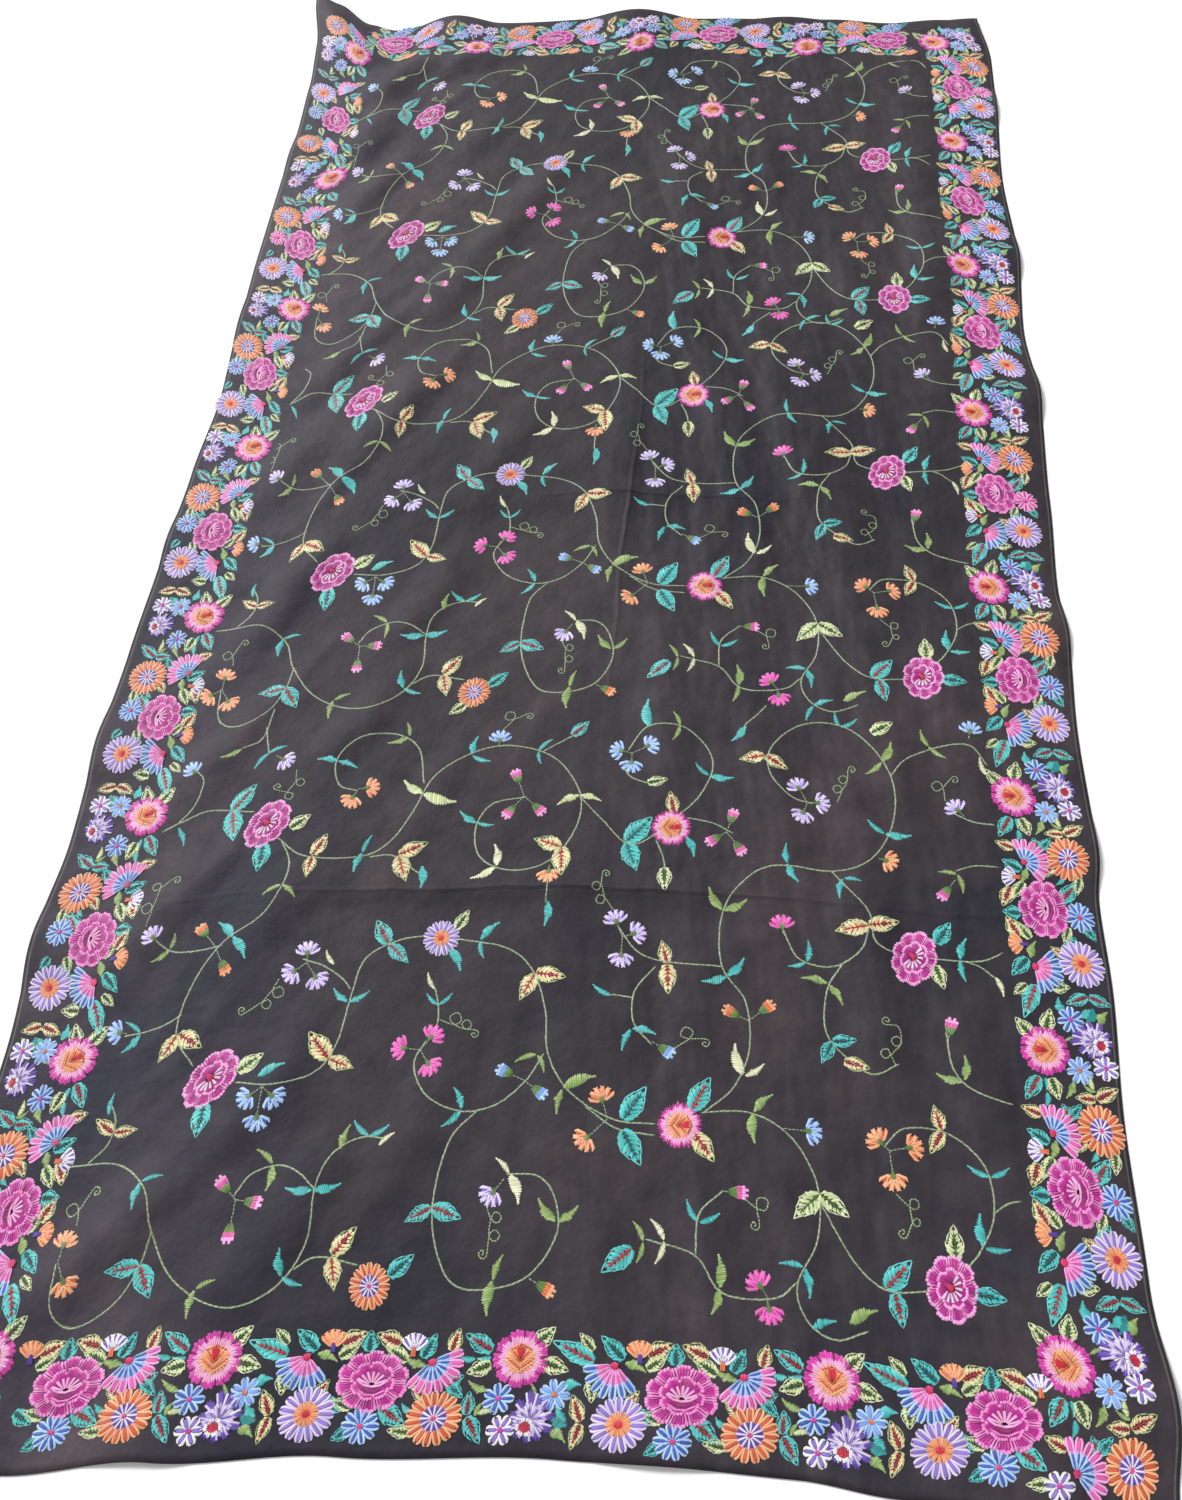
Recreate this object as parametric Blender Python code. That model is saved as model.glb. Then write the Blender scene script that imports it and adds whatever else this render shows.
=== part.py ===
"""Embroidered pashmina shawl, laid out flat with its near end towards the viewer.

One fine panel of cloth with soft folds, a border of dense thread embroidery near its
four edges, and twenty-four large embroidered flowers in the field between them.
Metres, +Z up, +X across the shawl, +Y away from the near end. The origin lies under
the middle of the laid cloth, on the surface that it rests on.
"""
import math
from collections import namedtuple

import bmesh
import bpy

# Sizes of the shawl as cut and worked
CLOTH_WIDTH = 1.04
CLOTH_LENGTH = 2.00
CLOTH_WALL = 0.0011
SIDE_MARGIN = 0.010
NEAR_MARGIN = 0.018
FAR_MARGIN = 0.013
BORDER_WIDTH = 0.085

# Thread that stands on the cloth
SEAM_GAP = 0.00032
BORDER_THREAD = 0.0009
FLOWER_THREAD = 0.0011

# The border's inner edge swells round each of its flower heads
BORDER_SCALLOP = 0.065
BORDER_SWELL = 0.0035
STEPS_PER_SCALLOP = 3
CORNER_GAP = 0.004

# Grid of the cloth
COLUMNS = 30
ROWS = 56

# Turns taken to find a flat point from its laid place, each closer than the one before
FITTING_TURNS = 8

# How far each edge lies outside its straight line when the cloth is laid out
Edge = namedtuple("Edge", "along out")
LEFT_EDGE = [
    Edge(-1.00, -0.006), Edge(-0.78, -0.004), Edge(-0.66, -0.001), Edge(-0.54, -0.009),
    Edge(-0.45, -0.002), Edge(-0.33, -0.006), Edge(-0.22, -0.002), Edge(-0.08, 0.002),
    Edge(0.04, 0.007), Edge(0.16, 0.014), Edge(0.28, 0.009), Edge(0.42, 0.006),
    Edge(0.56, 0.006), Edge(0.69, 0.008), Edge(0.80, 0.005), Edge(0.90, -0.002),
    Edge(1.00, -0.016),
]
RIGHT_EDGE = [
    Edge(-1.00, -0.003), Edge(-0.93, 0.005), Edge(-0.83, -0.004), Edge(-0.70, -0.007),
    Edge(-0.57, -0.002), Edge(-0.49, -0.004), Edge(-0.43, 0.001), Edge(-0.29, -0.003),
    Edge(-0.17, 0.001), Edge(-0.10, -0.004), Edge(0.02, 0.000), Edge(0.20, 0.005),
    Edge(0.31, -0.004), Edge(0.45, 0.002), Edge(0.62, -0.006), Edge(0.78, -0.001),
    Edge(0.90, 0.000), Edge(1.00, -0.014),
]
NEAR_EDGE = [
    Edge(-0.52, -0.040), Edge(-0.42, -0.031), Edge(-0.29, -0.012), Edge(-0.14, 0.004),
    Edge(0.04, 0.016), Edge(0.14, 0.018), Edge(0.23, 0.017), Edge(0.31, 0.010),
    Edge(0.42, 0.009), Edge(0.52, 0.014),
]
FAR_EDGE = [
    Edge(-0.52, 0.030), Edge(-0.48, 0.012), Edge(-0.43, -0.014), Edge(-0.385, -0.030),
    Edge(-0.29, -0.006), Edge(-0.20, -0.014), Edge(0.00, -0.002), Edge(0.11, -0.010),
    Edge(0.30, -0.017), Edge(0.39, -0.029), Edge(0.46, -0.022), Edge(0.52, -0.026),
]

# Cloth that its folds would lift by less than this lies flat on the surface
REST_DEPTH = 0.0007

# Soft folds: the middle, the direction in degrees, the length, the whole width, the height
Fold = namedtuple("Fold", "x y turn length width height")
FOLDS = [
    # Ripples that lean across the left half
    Fold(-0.385, 0.855, 50, 0.30, 0.095, 0.0120), Fold(-0.265, 0.895, 26, 0.26, 0.085, 0.0080),
    Fold(-0.400, 0.735, 62, 0.26, 0.090, 0.0085), Fold(-0.385, 0.590, 62, 0.28, 0.090, 0.0065),
    Fold(-0.235, 0.700, 60, 0.26, 0.090, 0.0045), Fold(-0.215, 0.425, 60, 0.42, 0.100, 0.0065),
    Fold(-0.140, 0.580, 58, 0.28, 0.090, 0.0045), Fold(-0.370, 0.250, 54, 0.26, 0.085, 0.0055),
    Fold(-0.285, 0.160, 62, 0.34, 0.095, 0.0080), Fold(-0.390, 0.090, 60, 0.30, 0.090, 0.0070),
    Fold(-0.125, 0.110, 70, 0.36, 0.090, 0.0035), Fold(-0.360, -0.130, 66, 0.32, 0.090, 0.0075),
    Fold(-0.190, -0.140, 62, 0.30, 0.085, 0.0055), Fold(-0.385, -0.340, 62, 0.28, 0.085, 0.0050),
    Fold(-0.235, -0.300, 60, 0.26, 0.085, 0.0045), Fold(-0.400, -0.520, 63, 0.26, 0.085, 0.0055),
    Fold(-0.285, -0.520, 62, 0.28, 0.085, 0.0045), Fold(-0.150, -0.400, 66, 0.26, 0.080, 0.0035),
    Fold(-0.250, -0.690, 58, 0.26, 0.085, 0.0045), Fold(-0.380, -0.825, 50, 0.34, 0.095, 0.0085),
    Fold(-0.230, -0.830, 60, 0.28, 0.085, 0.0050), Fold(-0.110, -0.730, 66, 0.26, 0.080, 0.0035),
    # Long folds that lean the other way across the right half
    Fold(0.250, 0.060, 107, 0.74, 0.120, 0.0095), Fold(0.140, 0.150, 104, 0.50, 0.100, 0.0050),
    Fold(0.070, 0.600, 105, 0.44, 0.090, 0.0065), Fold(0.180, 0.700, 100, 0.34, 0.085, 0.0040),
    Fold(0.405, 0.500, 91, 0.70, 0.095, 0.0080), Fold(0.300, 0.420, 99, 0.40, 0.085, 0.0045),
    Fold(0.385, 0.080, 94, 0.46, 0.085, 0.0055), Fold(0.095, -0.270, 95, 0.38, 0.090, 0.0055),
    Fold(0.325, -0.300, 99, 0.34, 0.085, 0.0045), Fold(0.205, -0.390, 97, 0.32, 0.085, 0.0040),
    Fold(0.305, -0.600, 100, 0.34, 0.090, 0.0065), Fold(0.390, -0.660, 97, 0.34, 0.085, 0.0060),
    Fold(0.145, -0.660, 97, 0.38, 0.090, 0.0055), Fold(0.220, -0.790, 103, 0.28, 0.085, 0.0045),
    Fold(0.400, -0.250, 92, 0.40, 0.080, 0.0045), Fold(0.060, -0.830, 93, 0.26, 0.085, 0.0040),
    # Creases left by folding the shawl away
    Fold(0.015, 0.060, 90, 0.66, 0.075, 0.0035), Fold(0.010, -0.620, 90, 0.80, 0.075, 0.0025),
    Fold(-0.060, 0.008, 0, 0.74, 0.075, 0.0030), Fold(-0.100, -0.495, 0, 0.84, 0.075, 0.0030),
    Fold(0.120, 0.500, 0, 0.70, 0.075, 0.0025),
    # Waves that lift the far edge and its left corner
    Fold(-0.500, 0.985, 118, 0.34, 0.160, 0.0240), Fold(-0.290, 1.000, 88, 0.30, 0.150, 0.0095),
    Fold(0.000, 1.000, 92, 0.40, 0.190, 0.0130), Fold(0.235, 0.990, 96, 0.26, 0.130, 0.0050),
    Fold(0.500, 0.960, 60, 0.26, 0.100, 0.0060),
    # Waves along the two long edges and the near end
    Fold(0.525, 0.780, 4, 0.22, 0.120, 0.0050), Fold(0.530, 0.450, 176, 0.22, 0.120, 0.0060),
    Fold(0.530, 0.200, 3, 0.24, 0.120, 0.0070), Fold(0.525, -0.160, 178, 0.20, 0.110, 0.0050),
    Fold(0.525, -0.430, 2, 0.22, 0.110, 0.0055), Fold(0.530, -0.925, 150, 0.22, 0.120, 0.0070),
    Fold(-0.525, 0.640, 6, 0.22, 0.120, 0.0050), Fold(-0.525, 0.300, 172, 0.22, 0.120, 0.0055),
    Fold(-0.525, -0.060, 5, 0.20, 0.110, 0.0045), Fold(-0.530, -0.330, 176, 0.24, 0.120, 0.0065),
    Fold(-0.530, -0.560, 3, 0.20, 0.110, 0.0060), Fold(-0.300, -1.000, 80, 0.22, 0.120, 0.0045),
    Fold(0.120, -1.000, 95, 0.22, 0.130, 0.0045), Fold(0.420, -1.000, 100, 0.22, 0.120, 0.0050),
]

# The field's large flowers: the size, the count of outer petals, the colour, and where the
# three of each kind lie on the laid cloth, from the near end to the far one
Place = namedtuple("Place", "x y")
Flower = namedtuple("Flower", "name wide tall petals colour places")
MAGENTA = (0.52, 0.045, 0.27)
ROSE_PINK = (0.66, 0.11, 0.22)
ORANGE = (0.80, 0.24, 0.10)
LILAC = (0.50, 0.42, 0.72)
FLOWERS = [
    Flower("field_peony_left_low", 0.049, 0.056, 11, MAGENTA,
           (Place(-0.315, -0.701), Place(-0.306, -0.109), Place(-0.309, 0.482))),
    Flower("field_peony_left_high", 0.047, 0.055, 11, MAGENTA,
           (Place(-0.316, -0.436), Place(-0.315, 0.162), Place(-0.314, 0.747))),
    Flower("field_peony_right_low", 0.044, 0.056, 11, MAGENTA,
           (Place(0.355, -0.835), Place(0.363, -0.229), Place(0.357, 0.357))),
    Flower("field_peony_right_high", 0.045, 0.057, 11, MAGENTA,
           (Place(0.338, -0.546), Place(0.336, 0.060), Place(0.342, 0.641))),
    Flower("field_rose_low", 0.043, 0.043, 10, ROSE_PINK,
           (Place(0.123, -0.716), Place(0.126, -0.115), Place(0.130, 0.474))),
    Flower("field_rose_high", 0.043, 0.043, 10, ROSE_PINK,
           (Place(0.102, -0.420), Place(0.102, 0.181), Place(0.108, 0.759))),
    Flower("field_zinnia", 0.035, 0.038, 10, ORANGE,
           (Place(-0.136, -0.868), Place(-0.120, -0.267), Place(-0.125, 0.316))),
    Flower("field_daisy", 0.036, 0.037, 12, LILAC,
           (Place(-0.117, -0.551), Place(-0.114, 0.045), Place(-0.113, 0.635))),
]
POINTS_PER_PETAL = 2
PETAL_NOTCH = 0.90

CLOTH_COLOUR = (0.045, 0.037, 0.041)
BORDER_COLOUR = (0.22, 0.21, 0.24)
CLOTH_ROUGHNESS = 0.62
THREAD_ROUGHNESS = 0.45

# Cutting prisms reach past the cloth on both sides
CUTTER_LOW = -0.02
CUTTER_HIGH = 0.08


def eased(table, place):
    """How far the edge lies out at a place, eased smoothly from row to row."""
    if place <= table[0].along:
        return table[0].out
    for low, high in zip(table, table[1:]):
        if place <= high.along:
            share = (place - low.along) / (high.along - low.along)
            share = share * share * (3 - 2 * share)
            return low.out + (high.out - low.out) * share
    return table[-1].out


def plan(across, along):
    """Where a point of the flat cloth lies when the shawl is laid out."""
    right_share = across / CLOTH_WIDTH + 0.5
    far_share = along / CLOTH_LENGTH + 0.5
    x = across + (1 - right_share) * eased(LEFT_EDGE, along) + right_share * eased(RIGHT_EDGE, along)
    y = along + (1 - far_share) * eased(NEAR_EDGE, across) + far_share * eased(FAR_EDGE, across)
    return x, y


def flat_place(x, y):
    """The point of the flat cloth that lies at a place of the laid one."""
    across, along = x, y
    for turn in range(FITTING_TURNS):
        laid_x, laid_y = plan(across, along)
        across += x - laid_x
        along += y - laid_y
    return across, along


def hump(share):
    """One at the middle, falling smoothly to nothing at a share of one."""
    if abs(share) >= 1:
        return 0.0
    return (1 - share * share) ** 2


def lift(across, along):
    """Height of the cloth's underside above the surface, nothing where it lies flat."""
    height = 0.0
    for fold in FOLDS:
        turn = math.radians(fold.turn)
        dx = across - fold.x
        dy = along - fold.y
        down = dx * math.cos(turn) + dy * math.sin(turn)
        over = dy * math.cos(turn) - dx * math.sin(turn)
        height += fold.height * hump(2 * down / fold.length) * hump(2 * over / fold.width)
    return max(0.0, height - REST_DEPTH)


def cloth_middle():
    """Middle of the laid cloth's outline, which becomes the origin."""
    steps = 400
    outline = []
    for step in range(steps + 1):
        across = CLOTH_WIDTH * (step / steps - 0.5)
        along = CLOTH_LENGTH * (step / steps - 0.5)
        outline += [plan(across, -CLOTH_LENGTH / 2), plan(across, CLOTH_LENGTH / 2)]
        outline += [plan(-CLOTH_WIDTH / 2, along), plan(CLOTH_WIDTH / 2, along)]
    xs = [point[0] for point in outline]
    ys = [point[1] for point in outline]
    return (min(xs) + max(xs)) / 2, (min(ys) + max(ys)) / 2


MIDDLE = cloth_middle()


def grid_point(column, row):
    """A point of the cloth's grid: its place and the height of its underside."""
    across = CLOTH_WIDTH * (column / COLUMNS - 0.5)
    along = CLOTH_LENGTH * (row / ROWS - 0.5)
    x, y = plan(across, along)
    return x - MIDDLE[0], y - MIDDLE[1], lift(across, along)


def material(name, colour, roughness):
    """Plain finish of one kind of thread or cloth."""
    finish = bpy.data.materials.get(name) or bpy.data.materials.new(name)
    finish.use_nodes = True
    shader = finish.node_tree.nodes["Principled BSDF"]
    shader.inputs["Base Color"].default_value = (*colour, 1)
    shader.inputs["Roughness"].default_value = roughness
    shader.inputs["Metallic"].default_value = 0.0
    finish.diffuse_color = (*colour, 1)
    return finish


def add_object(name, mesh_data, finish):
    """Puts a finished mesh in the scene as one named piece."""
    mesh = bpy.data.meshes.new(name)
    mesh_data.to_mesh(mesh)
    mesh_data.free()
    piece = bpy.data.objects.new(name, mesh)
    bpy.context.scene.collection.objects.link(piece)
    if finish:
        mesh.materials.append(finish)
    return piece


def sheet(first_column, last_column, first_row, last_row, low, high):
    """A closed stretch of the cloth's grid, between two heights above its underside."""
    shape = bmesh.new()
    lower = {}
    upper = {}
    for column in range(first_column, last_column + 1):
        for row in range(first_row, last_row + 1):
            x, y, z = grid_point(column, row)
            lower[column, row] = shape.verts.new((x, y, z + low))
            upper[column, row] = shape.verts.new((x, y, z + high))
    for column in range(first_column, last_column):
        for row in range(first_row, last_row):
            a, b = (column, row), (column + 1, row)
            c, d = (column + 1, row + 1), (column, row + 1)
            for corners in ((a, b, c), (a, c, d)):
                shape.faces.new([upper[corner] for corner in corners])
                shape.faces.new([lower[corner] for corner in reversed(corners)])
    rim = [(column, first_row) for column in range(first_column, last_column)]
    rim += [(last_column, row) for row in range(first_row, last_row)]
    rim += [(column, last_row) for column in range(last_column, first_column, -1)]
    rim += [(first_column, row) for row in range(last_row, first_row, -1)]
    for here, after in zip(rim, rim[1:] + rim[:1]):
        shape.faces.new((lower[here], lower[after], upper[after]))
        shape.faces.new((lower[here], upper[after], upper[here]))
    return shape


def prism(outline):
    """A closed upright prism on an outline of flat cloth points, given anticlockwise."""
    shape = bmesh.new()
    places = []
    for across, along in outline:
        x, y = plan(across, along)
        places.append((x - MIDDLE[0], y - MIDDLE[1]))
    lower = [shape.verts.new((x, y, CUTTER_LOW)) for x, y in places]
    upper = [shape.verts.new((x, y, CUTTER_HIGH)) for x, y in places]
    shape.faces.new(upper)
    shape.faces.new(lower[::-1])
    for index in range(len(places)):
        after = (index + 1) % len(places)
        shape.faces.new((lower[index], lower[after], upper[after], upper[index]))
    return shape


def thread_layer(name, outline, thickness, finish):
    """Thread worked on the cloth inside an outline: the cloth's own points, moved out."""
    column_width = CLOTH_WIDTH / COLUMNS
    row_length = CLOTH_LENGTH / ROWS
    columns = [(across + CLOTH_WIDTH / 2) / column_width for across, along in outline]
    rows = [(along + CLOTH_LENGTH / 2) / row_length for across, along in outline]
    low = CLOTH_WALL + SEAM_GAP
    layer = sheet(
        max(0, math.floor(min(columns)) - 1), min(COLUMNS, math.ceil(max(columns)) + 1),
        max(0, math.floor(min(rows)) - 1), min(ROWS, math.ceil(max(rows)) + 1),
        low, low + thickness)
    piece = add_object(name, layer, finish)
    cutter = add_object(name + "_outline", prism(outline), None)
    cutter.hide_render = True
    cutter.display_type = "WIRE"
    cut = piece.modifiers.new("worked_outline", "BOOLEAN")
    cut.operation = "INTERSECT"
    cut.solver = "EXACT"
    cut.object = cutter
    return piece


def flower_outline(flower, place):
    """Outline of a flower head, with a notch between each two petals."""
    middle_across, middle_along = flat_place(place.x, place.y)
    count = flower.petals * POINTS_PER_PETAL
    outline = []
    for index in range(count):
        angle = 2 * math.pi * index / count
        reach = 1.0 if index % POINTS_PER_PETAL == 0 else PETAL_NOTCH
        across = middle_across + flower.wide / 2 * reach * math.cos(angle)
        along = middle_along + flower.tall / 2 * reach * math.sin(angle)
        outline.append((across, along))
    return outline


def swelling(length):
    """Steps along a border: the distance from its start and the swell of its inner edge."""
    scallops = round(length / BORDER_SCALLOP)
    steps = scallops * STEPS_PER_SCALLOP
    result = []
    for step in range(steps + 1):
        swell = BORDER_SWELL * abs(math.sin(math.pi * step / STEPS_PER_SCALLOP))
        result.append((length * step / steps, swell))
    return result


def side_border_outline(side):
    """Outline of the border along a long edge, on the side -1 or 1."""
    outer = side * (CLOTH_WIDTH / 2 - SIDE_MARGIN)
    inner = outer - side * BORDER_WIDTH
    start = NEAR_MARGIN - CLOTH_LENGTH / 2
    steps = swelling(CLOTH_LENGTH - NEAR_MARGIN - FAR_MARGIN)
    outline = [(inner - side * swell, start + distance) for distance, swell in steps]
    outline += [(outer, start + distance) for distance, swell in reversed(steps[::STEPS_PER_SCALLOP])]
    return outline if side < 0 else outline[::-1]


def end_border_outline(end):
    """Outline of the border along an end, -1 near or 1 far, between the side borders."""
    margin = NEAR_MARGIN if end < 0 else FAR_MARGIN
    outer = end * (CLOTH_LENGTH / 2 - margin)
    inner = outer - end * BORDER_WIDTH
    start = SIDE_MARGIN + BORDER_WIDTH + BORDER_SWELL + CORNER_GAP - CLOTH_WIDTH / 2
    steps = swelling(-2 * start)
    outline = [(start + distance, inner - end * swell) for distance, swell in steps]
    outline += [(start + distance, outer) for distance, swell in reversed(steps[::STEPS_PER_SCALLOP])]
    return outline if end > 0 else outline[::-1]


def build_panel():
    """The cloth itself, one wall from edge to edge."""
    finish = material("fine_cloth", CLOTH_COLOUR, CLOTH_ROUGHNESS)
    panel = add_object("shawl_panel", sheet(0, COLUMNS, 0, ROWS, 0.0, CLOTH_WALL), finish)
    panel.data.shade_smooth()
    panel.data.set_sharp_from_angle(angle=math.radians(40))


def build_borders():
    """The four borders of dense embroidery."""
    finish = material("border_thread", BORDER_COLOUR, THREAD_ROUGHNESS)
    outlines = {
        "border_left": side_border_outline(-1),
        "border_right": side_border_outline(1),
        "border_near": end_border_outline(-1),
        "border_far": end_border_outline(1),
    }
    for name, outline in outlines.items():
        thread_layer(name, outline, BORDER_THREAD, finish)


def build_field_flowers():
    """The large flowers of the field, in each repeat of the design."""
    for flower in FLOWERS:
        finish = material(flower.name + "_thread", flower.colour, THREAD_ROUGHNESS)
        for index, place in enumerate(flower.places):
            name = f"{flower.name}_{index + 1}"
            thread_layer(name, flower_outline(flower, place), FLOWER_THREAD, finish)


def main():
    for piece in list(bpy.data.objects):
        bpy.data.objects.remove(piece)
    build_panel()
    build_borders()
    build_field_flowers()


main()
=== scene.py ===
"""Looks of an embroidered pashmina shawl that lies flat on a pale floor.

The cloth is one thin shell with soft creases. Every flower, leaf and vine on it is worked
in separate strands of coloured thread, each a low ridge whose ends go into the cloth.
The flat cloth is measured across (to the right) and along (away from the near end).
"""

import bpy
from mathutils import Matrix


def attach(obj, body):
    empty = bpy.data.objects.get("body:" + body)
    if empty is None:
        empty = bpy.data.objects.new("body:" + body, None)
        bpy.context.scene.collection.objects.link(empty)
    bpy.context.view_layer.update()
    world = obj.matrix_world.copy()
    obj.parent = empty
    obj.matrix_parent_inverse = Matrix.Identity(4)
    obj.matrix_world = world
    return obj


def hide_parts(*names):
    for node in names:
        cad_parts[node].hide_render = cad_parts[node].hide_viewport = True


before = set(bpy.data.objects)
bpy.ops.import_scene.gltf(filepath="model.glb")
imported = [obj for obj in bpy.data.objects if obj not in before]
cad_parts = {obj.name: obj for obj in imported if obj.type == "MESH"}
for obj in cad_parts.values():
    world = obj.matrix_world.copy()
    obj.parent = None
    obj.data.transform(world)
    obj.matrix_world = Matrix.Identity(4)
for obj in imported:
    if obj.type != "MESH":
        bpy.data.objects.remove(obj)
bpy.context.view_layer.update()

import math
from collections import namedtuple

import bpy
import numpy as np
from bpy.props import FloatProperty, FloatVectorProperty, IntProperty, PointerProperty
from bpy.types import Operator, Panel, PropertyGroup
from mathutils import Matrix, Vector

bl_info = {
    "name": "Embroidered shawl",
    "version": (1, 0, 0),
    "blender": (4, 5, 0),
    "location": "View3D > Sidebar > Shawl",
    "description": "Makes the cloth and the thread of an embroidered shawl",
    "category": "Add Mesh",
}

MM = 0.001

# Sizes of the shawl as cut and worked, in metres
CLOTH_WIDTH = 1.04
CLOTH_LENGTH = 2.00
SIDE_MARGIN = 0.010
NEAR_MARGIN = 0.018
FAR_MARGIN = 0.013
BORDER_WIDTH = 0.085
FIELD_REPEATS = 3
SIDE_INNER = CLOTH_WIDTH / 2 - SIDE_MARGIN - BORDER_WIDTH
NEAR_INNER = -CLOTH_LENGTH / 2 + NEAR_MARGIN + BORDER_WIDTH
FAR_INNER = CLOTH_LENGTH / 2 - FAR_MARGIN - BORDER_WIDTH

# How far each edge lies outside its straight line when the cloth is laid out: places along the
# edge, and how far out it lies there, in metres
LEFT_EDGE = [
    (-1.00, -0.006), (-0.78, -0.004), (-0.66, -0.001), (-0.54, -0.009), (-0.45, -0.002), (-0.33, -0.006),
    (-0.22, -0.002), (-0.08, 0.002), (0.04, 0.007), (0.16, 0.014), (0.28, 0.009), (0.42, 0.006),
    (0.56, 0.006), (0.69, 0.008), (0.80, 0.005), (0.90, -0.002), (1.00, -0.016),
]
RIGHT_EDGE = [
    (-1.00, -0.003), (-0.93, 0.005), (-0.83, -0.004), (-0.70, -0.007), (-0.57, -0.002), (-0.49, -0.004),
    (-0.43, 0.001), (-0.29, -0.003), (-0.17, 0.001), (-0.10, -0.004), (0.02, 0.000), (0.20, 0.005),
    (0.31, -0.004), (0.45, 0.002), (0.62, -0.006), (0.78, -0.001), (0.90, 0.000), (1.00, -0.014),
]
NEAR_EDGE = [
    (-0.52, -0.040), (-0.42, -0.031), (-0.29, -0.012), (-0.14, 0.004), (0.04, 0.016), (0.14, 0.018),
    (0.23, 0.017), (0.31, 0.010), (0.42, 0.009), (0.52, 0.014),
]
FAR_EDGE = [
    (-0.52, 0.030), (-0.48, 0.012), (-0.43, -0.014), (-0.385, -0.030), (-0.29, -0.006), (-0.20, -0.014),
    (0.00, -0.002), (0.11, -0.010), (0.30, -0.017), (0.39, -0.029), (0.46, -0.022), (0.52, -0.026),
]

# Cloth that its folds would lift by less than this lies flat on the surface
REST_DEPTH = 0.0007

# Soft folds: the middle, the direction in degrees, the length, the whole width, the height
Fold = namedtuple("Fold", "x y turn length width height")
FOLDS = [Fold(*row) for row in (
    # Ripples that lean across the left half
    (-0.385, 0.855, 50, 0.30, 0.095, 0.0120), (-0.265, 0.895, 26, 0.26, 0.085, 0.0080),
    (-0.400, 0.735, 62, 0.26, 0.090, 0.0085), (-0.385, 0.590, 62, 0.28, 0.090, 0.0065),
    (-0.235, 0.700, 60, 0.26, 0.090, 0.0045), (-0.215, 0.425, 60, 0.42, 0.100, 0.0065),
    (-0.140, 0.580, 58, 0.28, 0.090, 0.0045), (-0.370, 0.250, 54, 0.26, 0.085, 0.0055),
    (-0.285, 0.160, 62, 0.34, 0.095, 0.0080), (-0.390, 0.090, 60, 0.30, 0.090, 0.0070),
    (-0.125, 0.110, 70, 0.36, 0.090, 0.0035), (-0.360, -0.130, 66, 0.32, 0.090, 0.0075),
    (-0.190, -0.140, 62, 0.30, 0.085, 0.0055), (-0.385, -0.340, 62, 0.28, 0.085, 0.0050),
    (-0.235, -0.300, 60, 0.26, 0.085, 0.0045), (-0.400, -0.520, 63, 0.26, 0.085, 0.0055),
    (-0.285, -0.520, 62, 0.28, 0.085, 0.0045), (-0.150, -0.400, 66, 0.26, 0.080, 0.0035),
    (-0.250, -0.690, 58, 0.26, 0.085, 0.0045), (-0.380, -0.825, 50, 0.34, 0.095, 0.0085),
    (-0.230, -0.830, 60, 0.28, 0.085, 0.0050), (-0.110, -0.730, 66, 0.26, 0.080, 0.0035),
    # Long folds that lean the other way across the right half
    (0.250, 0.060, 107, 0.74, 0.120, 0.0095), (0.140, 0.150, 104, 0.50, 0.100, 0.0050),
    (0.070, 0.600, 105, 0.44, 0.090, 0.0065), (0.180, 0.700, 100, 0.34, 0.085, 0.0040),
    (0.405, 0.500, 91, 0.70, 0.095, 0.0080), (0.300, 0.420, 99, 0.40, 0.085, 0.0045),
    (0.385, 0.080, 94, 0.46, 0.085, 0.0055), (0.095, -0.270, 95, 0.38, 0.090, 0.0055),
    (0.325, -0.300, 99, 0.34, 0.085, 0.0045), (0.205, -0.390, 97, 0.32, 0.085, 0.0040),
    (0.305, -0.600, 100, 0.34, 0.090, 0.0065), (0.390, -0.660, 97, 0.34, 0.085, 0.0060),
    (0.145, -0.660, 97, 0.38, 0.090, 0.0055), (0.220, -0.790, 103, 0.28, 0.085, 0.0045),
    (0.400, -0.250, 92, 0.40, 0.080, 0.0045), (0.060, -0.830, 93, 0.26, 0.085, 0.0040),
    # Broad ridges left by folding the shawl away
    (0.015, 0.060, 90, 0.66, 0.075, 0.0035), (0.010, -0.620, 90, 0.80, 0.075, 0.0025),
    (-0.060, 0.008, 0, 0.74, 0.075, 0.0030), (-0.100, -0.495, 0, 0.84, 0.075, 0.0030),
    (0.120, 0.500, 0, 0.70, 0.075, 0.0025),
    # Waves that lift the far edge and its left corner
    (-0.500, 0.985, 118, 0.34, 0.160, 0.0240), (-0.290, 1.000, 88, 0.30, 0.150, 0.0095),
    (0.000, 1.000, 92, 0.40, 0.190, 0.0130), (0.235, 0.990, 96, 0.26, 0.130, 0.0050),
    (0.500, 0.960, 60, 0.26, 0.100, 0.0060),
    # Waves along the two long edges and the near end
    (0.525, 0.780, 4, 0.22, 0.120, 0.0050), (0.530, 0.450, 176, 0.22, 0.120, 0.0060),
    (0.530, 0.200, 3, 0.24, 0.120, 0.0070), (0.525, -0.160, 178, 0.20, 0.110, 0.0050),
    (0.525, -0.430, 2, 0.22, 0.110, 0.0055), (0.530, -0.925, 150, 0.22, 0.120, 0.0070),
    (-0.525, 0.640, 6, 0.22, 0.120, 0.0050), (-0.525, 0.300, 172, 0.22, 0.120, 0.0055),
    (-0.525, -0.060, 5, 0.20, 0.110, 0.0045), (-0.530, -0.330, 176, 0.24, 0.120, 0.0065),
    (-0.530, -0.560, 3, 0.20, 0.110, 0.0060), (-0.300, -1.000, 80, 0.22, 0.120, 0.0045),
    (0.120, -1.000, 95, 0.22, 0.130, 0.0045), (0.420, -1.000, 100, 0.22, 0.120, 0.0050),
)]

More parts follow.
